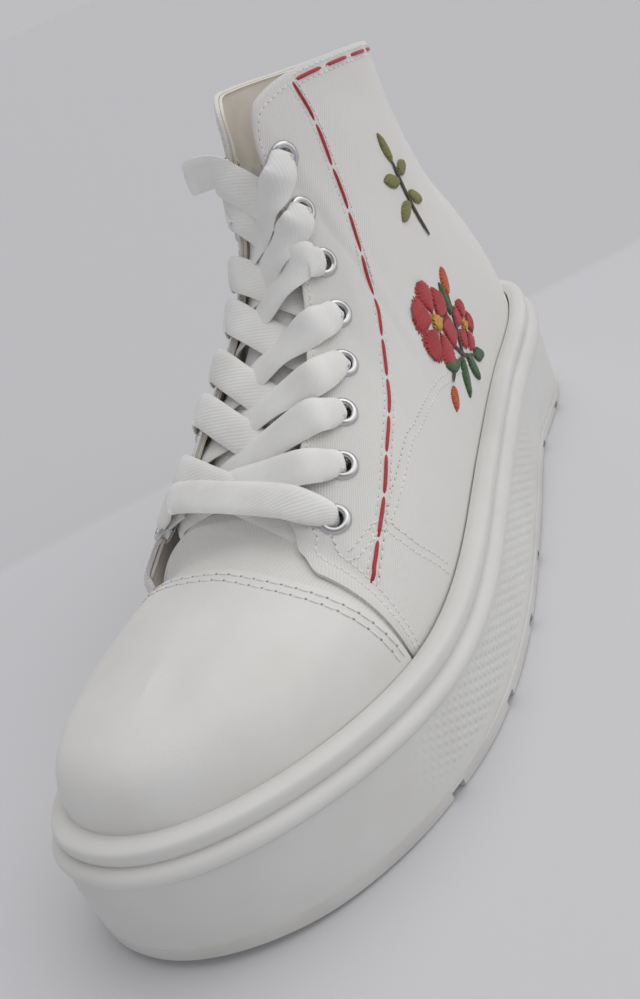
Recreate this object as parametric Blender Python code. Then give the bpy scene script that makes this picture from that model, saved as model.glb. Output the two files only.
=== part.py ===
# High-top platform sneaker, left shoe, standing empty on its sole.
# Toe towards -Y, lateral side towards +X, floor at Z = 0.

import bmesh
import bpy
import numpy as np

for old in list(bpy.data.objects):
    bpy.data.objects.remove(old, do_unlink=True)


def table(names, *rows):
    """A table's columns by name, each as an array."""
    return dict(zip(names.split(), np.array(rows, float).T))


# All sizes are in millimetres: "along" runs from the heel end to the toe,
# "across" from the medial to the lateral side.
MM = 0.001

# Plan of the sole at its widest line
SOLE_LENGTH = 283.0
HEEL_ACROSS = 0.5
TOE_ACROSS = -9.5
SOLE_PLAN = table(
    "along lateral medial",
    (276.0, 14.0, -32.0),
    (260.0, 32.0, -43.0),
    (238.0, 45.8, -49.0),
    (208.0, 55.0, -51.0),
    (178.0, 55.2, -47.6),
    (138.0, 48.7, -38.6),
    (98.0, 41.8, -34.3),
    (58.0, 36.8, -35.4),
    (28.0, 33.6, -35.0),
    (6.5, 22.0, -22.5),
)

# Heights of the lines that run round the side of the sole
SIDE_LINES = table(
    "along lip groove parting",
    (0.0, 45.2, 39.2, 30.0),
    (58.0, 39.7, 35.0, 28.0),
    (138.0, 36.1, 31.0, 25.0),
    (198.0, 35.2, 30.0, 25.2),
    (283.0, 39.9, 35.0, 30.5),
)

# Inset of the tread's edge from the widest line, and the lift of the tread off the floor
TREAD_EDGE = table(
    "along inset lift",
    (0.0, -1.5, 2.0),
    (14.0, -0.5, 0.0),
    (58.0, 1.3, 0.0),
    (88.0, -0.5, 0.6),
    (112.0, -1.8, 0.6),
    (138.0, -2.2, 0.0),
    (198.0, -0.3, 0.0),
    (226.0, 0.3, 0.0),
    (260.0, 0.0, 1.0),
    (283.0, 0.5, 2.8),
)

# Gap between neighbouring pieces, faces along each half of the sole, plan points for each row of its table
GAP = 0.3
SPANS = 40
PER_SPAN = 40

# Midsole side, from its foot up to the parting line
MIDSOLE_SIDE = table(
    "tread_share inset rise",
    (1.0, 0.6, 0.0),
    (0.45, 0.5, 0.55),
    (0.0, 0.9, 1.0),
)

# Foxing section, from the parting line up to the lip
FOXING_OUTER = table(
    "inset from_parting from_groove from_lip",
    (1.1, 1.0, 0.0, 0.0),
    (0.0, 0.62, 0.38, 0.0),
    (1.0, 0.2, 0.8, 0.0),
    (4.0, 0.0, 1.0, 0.0),
    (2.4, 0.0, 0.78, 0.22),
    (3.2, 0.0, 0.35, 0.65),
    (5.6, 0.0, 0.08, 0.92),
    (7.6, 0.0, 0.0, 1.0),
)
FOXING_INNER_INSET = 8.8

# Outsole and its cross grooves
OUTSOLE_THICKNESS = 5.0
OUTSOLE_EDGE_ROUND = 1.2
GROOVE_WIDTH = 5.0
GROOVE_DEPTH = 3.0
GROOVE_STATIONS = (38.0, 66.0, 132.0, 162.0, 192.5, 224.0)

# Upper: ribs from the feather line to the ridge, the throat edge and the collar
WALL = 1.8
QUARTER_STEP = 0.9
UPPER_INSET = FOXING_INNER_INSET + QUARTER_STEP + 2 * GAP
CAP_FOOT = 213.0
QUARTER_FOOT = 211.6
THROAT_FOOT = 210.5
CORNER_FOOT = 207.0
COLLAR_FOOT = 124.0
RIBS = table(
    "foot lateral medial along up crest_tilt foot_tilt crest_pull foot_pull",
    (283.0, 0.0, 0.0, 245.0, 57.5, 12.0, 88.0, 0.62, 0.58),
    (272.0, 0.0, 0.0, 241.0, 58.0, 10.0, 88.0, 0.62, 0.58),
    (255.0, 0.0, 0.0, 232.0, 59.0, 6.0, 88.0, 0.60, 0.56),
    (235.0, 0.0, 0.0, 220.0, 60.3, 3.0, 88.0, 0.56, 0.52),
    (213.0, 0.0, 0.0, 207.0, 61.6, 3.0, 88.0, 0.52, 0.50),
    (210.5, 0.0, 0.0, 197.0, 63.5, 8.0, 88.0, 0.50, 0.46),
    (207.0, 13.0, 19.0, 193.0, 66.5, 22.0, 88.0, 0.42, 0.44),
    (197.0, 16.0, 20.5, 180.0, 76.0, 38.0, 88.0, 0.38, 0.42),
    (186.0, 14.5, 17.5, 165.0, 87.0, 46.0, 88.0, 0.36, 0.40),
    (174.0, 12.5, 14.0, 150.0, 97.5, 52.0, 88.0, 0.35, 0.38),
    (162.0, 10.5, 11.0, 139.0, 107.5, 58.0, 88.0, 0.34, 0.37),
    (150.0, 8.5, 8.5, 130.0, 121.0, 64.0, 88.0, 0.33, 0.36),
    (140.0, 6.5, 6.5, 124.0, 135.0, 70.0, 88.0, 0.33, 0.35),
    (131.0, 5.5, 5.5, 120.0, 147.0, 76.0, 88.0, 0.33, 0.35),
    (124.0, 7.5, 7.5, 115.5, 156.0, 80.0, 88.0, 0.33, 0.35),
    (114.0, 13.0, 13.0, 104.0, 158.5, 84.0, 88.0, 0.33, 0.35),
    (95.0, 18.0, 18.0, 88.0, 157.0, 88.0, 88.0, 0.33, 0.35),
    (75.0, 19.5, 19.5, 72.0, 155.0, 90.0, 88.0, 0.34, 0.36),
    (52.0, 17.0, 17.0, 55.0, 152.5, 92.0, 87.5, 0.35, 0.38),
    (25.0, 10.0, 10.0, 40.0, 150.5, 94.0, 87.0, 0.36, 0.40),
    (0.0, 0.0, 0.0, 32.0, 149.5, 95.0, 87.0, 0.36, 0.42),
)


# Middle line of the collar, the throat and the ridge
SPINE = table("along across", (32.0, -5.0), (72.0, -1.0), (115.0, 0.0), (200.0, 0.5), (245.0, -5.0))

# Ribs along the toe cap, the throat and the collar, points up a rib, and the width of the quarter's step
CAP_RIBS = 11
THROAT_RIBS = 15
COLLAR_RIBS = 12
RIB_STEPS = 12
STEP_SPAN = 0.002

# Toe cap, between the upper's own form and a larger one
CAP_THICKNESS = 1.2
CAP_ABOVE_LIP = 0.4

# Insole and tongue
INSOLE_INSET = UPPER_INSET + WALL + 2 * GAP
INSOLE_THICKNESS = 5.0
INSOLE_HOLLOW = 1.0
INSOLE_CUP = 8.0
TONGUE_CLEAR = 3.8
TONGUE_THICKNESS = 2.4
TONGUE_FEET = (212.0, 138.0)
TONGUE_REACH = 20.0
TONGUE_ROWS = 14
TONGUE_SEAM = 2
TONGUE_POINTS = 9

# Eyelets and lace
EYELET_COUNT = 8
EYELET_FIRST = 5.4
EYELET_PITCH = 16.4
EYELET_FROM_EDGE = 12.0
EYELET_HOLE = 2.3
EYELET_BARREL = 2.9
EYELET_ROLL = 3.4
EYELET_FLANGE = 4.2
EYELET_BACK_FLANGE = 3.5
EYELET_HOLE_RISE = 0.5
EYELET_ROLL_RISE = 0.8
EYELET_BACK_RISE = 0.4
EYELET_SIDES = 8
EYELET_CLEAR = 1.25
HOLE_CUTTER_REACH = 4.0
LACE_WIDTH = 8.4
LACE_THICKNESS = 1.3
LACE_STEPS = 12
LACE_FLAT = np.array([(0.3, 0.75), (0.0, 1.0)])
LACE_OVER_EDGE = 10.0
BAR_DROP = 0.35
CROSSING_DROP = 0.4

WHITE_RUBBER = (0.86, 0.86, 0.85)
WHITE_CANVAS = (0.84, 0.84, 0.82)
CREAM_FOAM = (0.72, 0.68, 0.58)
WHITE_LEATHER = (0.88, 0.88, 0.87)
SILVER = (0.78, 0.78, 0.78)


# Curves
def smooth(x, xs, ys):
    """Cubic through a table's rows with no overshoot, level at both ends."""
    step = np.diff(xs)
    slope = np.diff(ys) / step
    before, after = slope[:-1], slope[1:]
    turning = before * after > 0
    safe_before = np.where(turning, before, 1.0)
    safe_after = np.where(turning, after, 1.0)
    weight_a = 2 * step[1:] + step[:-1]
    weight_b = step[1:] + 2 * step[:-1]
    mean = (weight_a + weight_b) / (weight_a / safe_before + weight_b / safe_after)
    tangent = np.concatenate([[0.0], np.where(turning, mean, 0.0), [0.0]])
    x = np.clip(np.asarray(x, float), xs[0], xs[-1])
    i = np.clip(np.searchsorted(xs, x, "right") - 1, 0, len(step) - 1)
    u = (x - xs[i]) / step[i]
    low = (1 + 2 * u) * (1 - u) ** 2 * ys[i] + u * (1 - u) ** 2 * step[i] * tangent[i]
    high = u**2 * (3 - 2 * u) * ys[i + 1] + u**2 * (u - 1) * step[i] * tangent[i + 1]
    return low + high


def closed_spline(points, per_span):
    """Loop through the points with continuous curvature."""
    ahead = np.roll(points, -1, 0)
    chord = np.linalg.norm(ahead - points, axis=1)[:, None]
    behind = np.roll(chord, 1, 0)
    count = len(points)
    place = np.arange(count)
    matrix = np.zeros((count, count))
    matrix[place, place] = (2 / behind + 2 / chord)[:, 0]
    matrix[place, place - 1] = (1 / behind)[:, 0]
    matrix[place, (place + 1) % count] = (1 / chord)[:, 0]
    rise = (ahead - points) / chord**2
    tangent = np.linalg.solve(matrix, 3 * (rise + np.roll(rise, 1, 0)))
    next_tangent = np.roll(tangent, -1, 0)
    u = np.linspace(0, 1, per_span, endpoint=False)[None, :, None]
    start = points[:, None] * (1 + 2 * u) * (1 - u) ** 2
    start = start + (tangent * chord)[:, None] * u * (1 - u) ** 2
    end = ahead[:, None] * u**2 * (3 - 2 * u)
    end = end + (next_tangent * chord)[:, None] * u**2 * (u - 1)
    return (start + end).reshape(-1, 2)


# Plan of each half of the sole, from the toe to the heel
STATIONS = len(SOLE_PLAN["along"])
PLAN_LOOP = closed_spline(
    np.vstack(
        [
            [(TOE_ACROSS, SOLE_LENGTH)],
            np.column_stack([SOLE_PLAN["lateral"], SOLE_PLAN["along"]]),
            [(HEEL_ACROSS, 0.0)],
            np.column_stack([SOLE_PLAN["medial"], SOLE_PLAN["along"]])[::-1],
        ]
    ),
    PER_SPAN,
)
HEEL_PLACE = (STATIONS + 1) * PER_SPAN
LATERAL, MEDIAL = 1, -1
SIDE_NAMES = {LATERAL: "lateral", MEDIAL: "medial"}
HALF_PLAN = {
    LATERAL: PLAN_LOOP[: HEEL_PLACE + 1],
    MEDIAL: np.vstack([PLAN_LOOP[HEEL_PLACE:], PLAN_LOOP[:1]])[::-1],
}


def half_course(side):
    """Parts of the way from toe to heel, and the outward directions there."""
    half = HALF_PLAN[side]
    run = np.linalg.norm(np.diff(half, axis=0), axis=1)
    part = np.concatenate([[0.0], np.cumsum(run)]) / run.sum()
    heading = np.gradient(half, part, axis=0)
    heading[0] = (side, 0.0)
    heading[-1] = (-side, 0.0)
    heading = heading / np.linalg.norm(heading, axis=1)[:, None]
    return part, side * np.column_stack([-heading[:, 1], heading[:, 0]])


HALF_COURSE = {side: half_course(side) for side in HALF_PLAN}


def plan(side, part_round, inset):
    """Plan points and outward directions at parts of the way from toe to heel."""
    half = HALF_PLAN[side]
    part, outward_way = HALF_COURSE[side]
    point = np.stack([np.interp(part_round, part, half[:, k]) for k in range(2)], -1)
    away = np.stack([np.interp(part_round, part, outward_way[:, k]) for k in range(2)], -1)
    away = away / np.linalg.norm(away, axis=-1)[..., None]
    return point - away * np.asarray(inset)[..., None], away


def round_of(foot):
    """Part of the way from toe to heel where the lateral outline passes a station."""
    half = HALF_PLAN[LATERAL]
    return np.interp(-np.asarray(foot), -half[:, 1], HALF_COURSE[LATERAL][0])


# The last rib but one is mirrored past the heel, so that the collar closes there in a round
RIB_ROUNDS = round_of(RIBS["foot"])
RIB_ROUNDS = np.append(RIB_ROUNDS, 2 - RIB_ROUNDS[-2])
for name, column in RIBS.items():
    turn = -1 if name in SIDE_NAMES.values() else 1
    RIBS[name] = np.append(column, turn * column[-2])
CAP_ROUND, QUARTER_ROUND = round_of([CAP_FOOT, QUARTER_FOOT])
THROAT_ROUND, CORNER_ROUND, COLLAR_ROUND = round_of([THROAT_FOOT, CORNER_FOOT, COLLAR_FOOT])


def side_line(name, along):
    return smooth(along, SIDE_LINES["along"], SIDE_LINES[name])


def tread(name, along):
    return smooth(along, TREAD_EDGE["along"], TREAD_EDGE[name])


# Meshes
def material(name, colour, roughness, metallic=0.0):
    made = bpy.data.materials.new(name)
    made.use_nodes = True
    shader = made.node_tree.nodes["Principled BSDF"]
    shader.inputs["Base Color"].default_value = (*colour, 1.0)
    shader.inputs["Roughness"].default_value = roughness
    shader.inputs["Metallic"].default_value = metallic
    return made


def solid(name, points, faces, look):
    """A closed body from (across, along, up) points, welded and facing out."""
    across, along, up = np.asarray(points, float).T
    placed = np.column_stack([across - MID_ACROSS, MID_ALONG - along, up]) * MM
    mesh = bpy.data.meshes.new(name)
    mesh.from_pydata(placed.tolist(), [], faces)
    shape = bmesh.new()
    shape.from_mesh(mesh)
    bmesh.ops.remove_doubles(shape, verts=shape.verts, dist=1e-6)
    bmesh.ops.recalc_face_normals(shape, faces=shape.faces)
    shape.to_mesh(mesh)
    shape.free()
    mesh.materials.append(look)
    made = bpy.data.objects.new(name, mesh)
    bpy.context.scene.collection.objects.link(made)
    return made


def quads(rows, columns, first=0, loop_rows=False, loop_columns=False):
    """Faces of a grid of points stored row by row, open or closed on itself."""
    faces = []
    for i in range(rows - (not loop_rows)):
        for j in range(columns - (not loop_columns)):
            k, m = (i + 1) % rows, (j + 1) % columns
            corners = (i * columns + j, i * columns + m, k * columns + m, k * columns + j)
            faces.append(tuple(first + corner for corner in corners))
    return faces


def helper(cutter):
    cutter.hide_render = True
    cutter.display_type = "WIRE"


def boolean(target, other, operation):
    step = target.modifiers.new(other.name, "BOOLEAN")
    step.object = other
    step.operation = operation
    step.solver = "EXACT"
    helper(other)


# Loops round the sole: the lateral side from toe to heel, then the medial side back to the toe
ROUNDS = np.linspace(0, 1, SPANS + 1)
LOOP_ROUNDS = [(LATERAL, ROUNDS), (MEDIAL, ROUNDS[-2:0:-1])]
LOOP_ALONG = np.concatenate([plan(side, part, 0.0 * part)[0][:, 1] for side, part in LOOP_ROUNDS])
LOOP_COUNT = 2 * SPANS


def ring(inset, up):
    """A loop round the sole at an inset and a height, each one value or one for each place."""
    inset = np.broadcast_to(np.asarray(inset, float), LOOP_COUNT)
    up = np.broadcast_to(np.asarray(up, float), LOOP_COUNT)
    parts = (inset[: SPANS + 1], inset[SPANS + 1 :])
    flat = [plan(side, part, own)[0] for (side, part), own in zip(LOOP_ROUNDS, parts)]
    return np.column_stack([np.vstack(flat), up])


# The tread's edge, and the middle of the footprint, where the origin stands
lift = tread("lift", LOOP_ALONG)
tread_inset = tread("inset", LOOP_ALONG)
FOOTPRINT = np.vstack([ring(0.0, 0.0), ring(tread_inset, 0.0)])
MID_ACROSS, MID_ALONG = ((FOOTPRINT.max(0) + FOOTPRINT.min(0)) / 2)[:2]


def rungs(first):
    """Faces across a loop, from each lateral place to the medial place facing it."""
    faces = []
    for i in range(SPANS):
        corners = (i, i + 1, (LOOP_COUNT - i - 1) % LOOP_COUNT, (LOOP_COUNT - i) % LOOP_COUNT)
        if i == SPANS - 1:
            corners = (i, i + 1, LOOP_COUNT - i)
        if i == 0:
            corners = (0, 1, LOOP_COUNT - 1)
        faces.append(tuple(first + corner for corner in corners))
    return faces


def stacked(name, rings, look):
    """A body from loops stacked one on another, closed across the first and the last."""
    faces = quads(len(rings), LOOP_COUNT, loop_columns=True)
    faces += rungs(0) + rungs((len(rings) - 1) * LOOP_COUNT)
    return solid(name, np.vstack(rings), faces, look)


rubber = material("white_rubber", WHITE_RUBBER, 0.55)
tread_rubber = material("tread_rubber", WHITE_RUBBER, 0.6)
canvas = material("white_canvas", WHITE_CANVAS, 0.9)
foam = material("cream_foam", CREAM_FOAM, 0.9)
leather = material("white_leather", WHITE_LEATHER, 0.45)
metal = material("silver_metal", SILVER, 0.25, 1.0)
lace_weave = material("lace_weave", WHITE_CANVAS, 0.85)

# Outsole
outsole = stacked(
    "outsole",
    [
        ring(tread_inset + OUTSOLE_EDGE_ROUND, lift),
        ring(tread_inset, lift + OUTSOLE_EDGE_ROUND),
        ring(tread_inset, lift + OUTSOLE_THICKNESS),
    ],
    tread_rubber,
)
BOX_CORNERS = [(x, y, z) for x in (-1, 1) for y in (-1, 1) for z in (-1, 1)]
BOX_FACES = [(0, 1, 3, 2), (4, 6, 7, 5), (0, 4, 5, 1), (2, 3, 7, 6), (0, 2, 6, 4), (1, 5, 7, 3)]
for number, station in enumerate(GROOVE_STATIONS, 1):
    half_size = np.array([SOLE_LENGTH, GROOVE_WIDTH / 2, GROOVE_DEPTH])
    groove = solid(
        f"groove_cutter_{number}",
        np.array(BOX_CORNERS) * half_size + (0.0, station, 0.0),
        BOX_FACES,
        tread_rubber,
    )
    boolean(outsole, groove, "DIFFERENCE")

# Midsole
parting = side_line("parting", LOOP_ALONG)
midsole_foot = lift + OUTSOLE_THICKNESS + GAP
stacked(
    "midsole",
    [
        ring(tread_inset * share + inset, midsole_foot * (1 - rise) + parting * rise)
        for share, inset, rise in zip(*MIDSOLE_SIDE.values())
    ],
    rubber,
)

# Foxing
foxing_foot = parting + GAP
groove_line = side_line("groove", LOOP_ALONG)
lip = side_line("lip", LOOP_ALONG)
foxing_rings = [
    ring(inset, foxing_foot * low + groove_line * mid + lip * high)
    for inset, low, mid, high in zip(*FOXING_OUTER.values())
]
foxing_rings += [ring(FOXING_INNER_INSET, lip - GAP), ring(FOXING_INNER_INSET, foxing_foot)]
solid(
    "foxing",
    np.vstack(foxing_rings),
    quads(len(foxing_rings), LOOP_COUNT, loop_rows=True, loop_columns=True),
    rubber,
)

# Insole
insole_foot = parting + GAP
stacked(
    "insole",
    [
        ring(INSOLE_INSET, insole_foot),
        ring(INSOLE_INSET, insole_foot + INSOLE_THICKNESS),
        ring(INSOLE_INSET + INSOLE_CUP, insole_foot + INSOLE_THICKNESS - INSOLE_HOLLOW),
    ],
    foam,
)


# Upper
def bezier(points, u):
    """Cubic curve from four control points."""
    a, b, c, d = points
    return a * (1 - u) ** 3 + 3 * b * u * (1 - u) ** 2 + 3 * c * u**2 * (1 - u) + d * u**3


def rib_controls(side, part):
    """The four control points of the rib that starts this part of the way round."""
    foot, away = plan(side, part, UPPER_INSET)
    foot_up = side_line("parting", foot[1]) + 2 * GAP
    foot = np.array([*foot, foot_up])
    away = np.array([*away, 0.0])
    row = {name: float(smooth(part, RIB_ROUNDS, RIBS[name])) for name in RIBS}
    centre = float(smooth(row["along"], SPINE["along"], SPINE["across"]))
    crest = np.array([centre + side * row[SIDE_NAMES[side]], row["along"], row["up"]])
    span = np.linalg.norm(crest - foot)
    upward = np.array([0.0, 0.0, 1.0])
    foot_tilt, crest_tilt = np.radians(row["foot_tilt"]), np.radians(row["crest_tilt"])
    leave = np.cos(foot_tilt) * away + np.sin(foot_tilt) * upward
    arrive = -np.cos(crest_tilt) * away + np.sin(crest_tilt) * upward
    return foot, foot + leave * span * row["foot_pull"], crest - arrive * span * row["crest_pull"], crest


def shell(side, part, height):
    """A point of the upper's base form; past the toe or the heel it goes on round the other side."""
    if part < 0:
        side, part = -side, -part
    if part > 1:
        side, part = -side, 2 - part
    return bezier(rib_controls(side, part), height)


def outward(side, part, height):
    """The base form's outward direction, kept off the very ends of the rib."""
    step = 1e-3
    height = min(max(height, 0.02), 0.97)
    round_way = shell(side, part + step, height) - shell(side, part - step, height)
    up_way = shell(side, part, height + step) - shell(side, part, height - step)
    across = np.cross(round_way, up_way) * -side
    return across / np.linalg.norm(across)


def layer(side, part, height, offset):
    """A point off the base form."""
    return shell(side, part, height) + outward(side, part, height) * offset


def quarter_offset(part):
    return QUARTER_STEP if part > QUARTER_ROUND else 0.0


def joined_layers(parts, heights, offsets):
    """Both sides of the upper at an offset for each rib, alike where they meet at toe, heel and ridge."""
    grid = np.array(
        [
            [[layer(side, part, up, off) for up in own] for part, off, own in zip(parts, offsets, heights)]
            for side in (LATERAL, MEDIAL)
        ]
    )
    shared = grid.mean(0)
    for i, part in enumerate(parts):
        if part in (0.0, 1.0):
            grid[:, i] = shared[i]
        if part <= THROAT_ROUND and heights[i][-1] == 1.0:
            grid[:, i, -1] = shared[i, -1]
    return grid


upper_parts = np.concatenate(
    [
        np.linspace(0, CAP_ROUND, CAP_RIBS),
        [QUARTER_ROUND, QUARTER_ROUND + STEP_SPAN],
        np.linspace(THROAT_ROUND, COLLAR_ROUND, THROAT_RIBS),
        np.linspace(COLLAR_ROUND, 1, COLLAR_RIBS)[1:],
    ]
)
even_heights = np.linspace(0, 1, RIB_STEPS + 1)
upper_heights = [even_heights] * len(upper_parts)
outer = joined_layers(upper_parts, upper_heights, [quarter_offset(part) for part in upper_parts])
inner = joined_layers(upper_parts, upper_heights, [-WALL] * len(upper_parts))
rib_count, rib_points = len(upper_parts), RIB_STEPS + 1
surface = rib_count * rib_points
points = np.concatenate([outer[0], outer[1], inner[0], inner[1]]).reshape(-1, 3)
faces = []
for sheet in range(4):
    faces += quads(rib_count, rib_points, sheet * surface)
for sheet in range(2):
    for i in range(rib_count - 1):
        near, far = sheet * surface + i * rib_points, sheet * surface + (i + 1) * rib_points
        below = 2 * surface
        faces.append((near, far, far + below, near + below))
        if upper_parts[i] >= THROAT_ROUND:
            near, far = near + RIB_STEPS, far + RIB_STEPS
            faces.append((near, far, far + below, near + below))
upper = solid("upper", points, faces, canvas)

# Eyelet places, stepped up the throat edge and set back from it
EDGE_PARTS = np.linspace(CORNER_ROUND, COLLAR_ROUND, 200)
RIB_BACK = np.linspace(1, 0.4, 100)


def distances(way):
    """How far along a line of points each of them lies."""
    return np.concatenate([[0.0], np.cumsum(np.linalg.norm(np.diff(way, axis=0), axis=1))])


def reach_height(side, part, reach):
    """How far up a rib lies this far back from its end."""
    back = distances(np.array([shell(side, part, height) for height in RIB_BACK]))
    return float(np.interp(reach, back, RIB_BACK))


def eyelet_places(side):
    """Round and height on the base form for each eyelet of one side."""
    run = distances(np.array([shell(side, part, 1.0) for part in EDGE_PARTS]))
    steps = EYELET_FIRST + EYELET_PITCH * np.arange(EYELET_COUNT)
    parts = np.interp(steps, run, EDGE_PARTS)
    return [(part, reach_height(side, part, EYELET_FROM_EDGE)) for part in parts]


def frame_at(side, part, height):
    """Outward direction and two directions square to it."""
    axis = outward(side, part, height)
    across = np.cross(axis, (0.0, 1.0, 0.0))
    across = across / np.linalg.norm(across)
    return axis, across, np.cross(axis, across)


def turned(name, centre, directions, profile, look, closed):
    """A body turned from (radius, height) pairs about a direction."""
    axis, first, second = directions
    angles = np.linspace(0, 2 * np.pi, EYELET_SIDES, endpoint=False)
    rows = [
        [centre + axis * high + radius * (np.cos(a) * first + np.sin(a) * second) for a in angles]
        for radius, high in profile
    ]
    faces = quads(len(profile), EYELET_SIDES, loop_rows=closed, loop_columns=True)
    if not closed:
        last = (len(profile) - 1) * EYELET_SIDES
        faces += [tuple(range(EYELET_SIDES)), tuple(range(last, last + EYELET_SIDES))]
    return solid(name, np.array(rows).reshape(-1, 3), faces, look)


EYELET_BACK = -(WALL + QUARTER_STEP + EYELET_CLEAR)
EYELET_PROFILE = (
    (EYELET_HOLE, EYELET_CLEAR + EYELET_HOLE_RISE),
    (EYELET_ROLL, EYELET_CLEAR + EYELET_ROLL_RISE),
    (EYELET_FLANGE, EYELET_CLEAR),
    (EYELET_BARREL, EYELET_CLEAR),
    (EYELET_BARREL, EYELET_BACK),
    (EYELET_BACK_FLANGE, EYELET_BACK),
    (EYELET_HOLE, EYELET_BACK - EYELET_BACK_RISE),
)
HOLE_PROFILE = (
    (EYELET_BARREL + GAP, HOLE_CUTTER_REACH),
    (EYELET_BARREL + GAP, EYELET_BACK - HOLE_CUTTER_REACH),
)
places = {side: eyelet_places(side) for side in SIDE_NAMES}
for side, side_name in SIDE_NAMES.items():
    for number, (part, height) in enumerate(places[side], 1):
        centre = layer(side, part, height, QUARTER_STEP)
        directions = frame_at(side, part, height)
        hole = turned(f"hole_cutter_{side_name}_{number}", centre, directions, HOLE_PROFILE, canvas, False)
        boolean(upper, hole, "DIFFERENCE")
        turned(f"eyelet_{side_name}_{number}", centre, directions, EYELET_PROFILE, metal, True)

# Toe cap
cap_parts = np.linspace(0, CAP_ROUND, CAP_RIBS)
RIB_LOWER = np.linspace(0, 0.6, 60)


def height_at(side, part, level):
    """How far up a rib it passes a level."""
    ups = np.array([shell(side, part, height)[2] for height in RIB_LOWER])
    return float(np.interp(level, ups, RIB_LOWER))


def cap_heights(part):
    level = side_line("lip", plan(LATERAL, part, UPPER_INSET)[0][1]) + CAP_ABOVE_LIP
    return np.linspace(height_at(LATERAL, part, level), 1, RIB_STEPS - 1)


cap_rows = [cap_heights(part) for part in cap_parts]
cap_outer = joined_layers(cap_parts, cap_rows, [GAP + CAP_THICKNESS] * len(cap_parts))
cap_inner = joined_layers(cap_parts, cap_rows, [GAP] * len(cap_parts))
cap_count, cap_points = len(cap_parts), RIB_STEPS - 1
surface = cap_count * cap_points
points = np.concatenate([cap_outer[0], cap_outer[1], cap_inner[0], cap_inner[1]]).reshape(-1, 3)
faces = []
for sheet in range(4):
    faces += quads(cap_count, cap_points, sheet * surface)
for sheet in range(2):
    below = 2 * surface
    for i in range(cap_count - 1):
        near, far = sheet * surface + i * cap_points, sheet * surface + (i + 1) * cap_points
        faces.append((near, far, far + below, near + below))
    for j in range(cap_points - 1):
        near = sheet * surface + (cap_count - 1) * cap_points + j
        faces.append((near, near + 1, near + 1 + below, near + below))
solid("toe_cap", points, faces, leather)

# Tongue
tongue_parts = np.linspace(*round_of(TONGUE_FEET), TONGUE_ROWS)
tongue_across = np.linspace(0, 1, TONGUE_POINTS)


def tongue_row(part, depth):
    """A line across the tongue, this deep under the upper's wall."""
    ends = {}
    for side in SIDE_NAMES:
        low = reach_height(side, part, TONGUE_REACH)
        ends[side] = (layer(side, part, low, -WALL - depth), layer(side, part, 1.0, -WALL - depth))
    controls = (*ends[LATERAL], *ends[MEDIAL][::-1])
    return [bezier(controls, u) for u in tongue_across]


SEAM_ROWS = np.array([0, TONGUE_SEAM])
SEAM_DEPTHS = np.array([2 * GAP, TONGUE_CLEAR])
tongue_depths = smooth(np.arange(TONGUE_ROWS), SEAM_ROWS, SEAM_DEPTHS)
tongue_top = np.array([tongue_row(*row) for row in zip(tongue_parts, tongue_depths)])
tongue_under = np.array([tongue_row(*row) for row in zip(tongue_parts, tongue_depths + TONGUE_THICKNESS)])
section = np.concatenate([tongue_top, tongue_under[:, ::-1]], axis=1)
rows, columns = section.shape[:2]
faces = quads(rows, columns, loop_columns=True)
width = columns // 2
for row in (0, rows - 1):
    for j in range(width - 1):
        near, under = row * columns + j, row * columns + columns - 1 - j
        faces.append((near, near + 1, under - 1, under))
solid("tongue", section.reshape(-1, 3), faces, canvas)

# Lace: a bar hanging between the lowest eyelets, then a crossing for each pair above it,
# whose two ends meet low over the tongue
places_up = np.arange(EYELET_COUNT + 1)
LACE_OVER_EYELET = EYELET_CLEAR + EYELET_ROLL_RISE + 3 * GAP + LACE_THICKNESS / 2


def lace_point(level, way):
    """A point of the form that the lace lies on: eyelet level, then 0 at the lateral to 1 at the medial."""
    controls = []
    for side in SIDE_NAMES:
        spots = np.array([2 * np.array(places[side][0]) - places[side][1], *places[side]])
        part, height = [float(np.interp(level, places_up, spots[:, k])) for k in range(2)]
        controls.append(layer(side, part, height, QUARTER_STEP + LACE_OVER_EYELET))
        controls.append(layer(side, part, 1.0, QUARTER_STEP + LACE_OVER_EDGE))
    return bezier((controls[0], controls[1], controls[3], controls[2]), way)


def lace_strip(name, number, drop):
    """A flat strip from the lateral to the medial eyelet of a level, hanging lower in its middle."""
    step = 0.02
    ends = [outward(side, *places[side][number - 1]) for side in SIDE_NAMES]
    path, normals, rows = [], [], []
    for way in np.linspace(0, 1, LACE_STEPS + 1):
        level = number - drop * (1 - (2 * way - 1) ** 2)
        path.append(lace_point(level, way))
        up_way = lace_point(level + step, way) - lace_point(level - step, way)
        over_way = lace_point(level, way + step) - lace_point(level, way - step)
        normal = np.cross(over_way, up_way)
        normal = normal / np.linalg.norm(normal)
        near_end = smooth(np.abs(2 * way - 1), *LACE_FLAT)
        normal = normal * (1 - near_end) + ends[int(way > 0.5)] * near_end
        normals.append(normal / np.linalg.norm(normal))
    for place, heading, normal in zip(path, np.gradient(np.array(path), axis=0), normals):
        flat = np.cross(normal, heading)
        flat = flat / np.linalg.norm(flat) * LACE_WIDTH / 2
        half = normal * LACE_THICKNESS / 2
        rows.append([place + half + flat, place + half - flat, place - half - flat, place - half + flat])
    last = (len(rows) - 1) * 4
    faces = quads(len(rows), 4, loop_columns=True) + [(0, 1, 2, 3), (last, last + 1, last + 2, last + 3)]
    solid(name, np.array(rows).reshape(-1, 3), faces, lace_weave)


lace_strip("lace_bar_1", 1, BAR_DROP)
for number in range(2, EYELET_COUNT + 1):
    lace_strip(f"lace_crossing_{number}", number, CROSSING_DROP)
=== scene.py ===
# High-top platform sneaker, left shoe: white canvas on a thick white rubber sole.
# Lengths are in millimetres, read as across (medial to lateral), along (heel to toe) and up.

import math

import bmesh
import bpy
import numpy as np
from mathutils import Matrix

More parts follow.
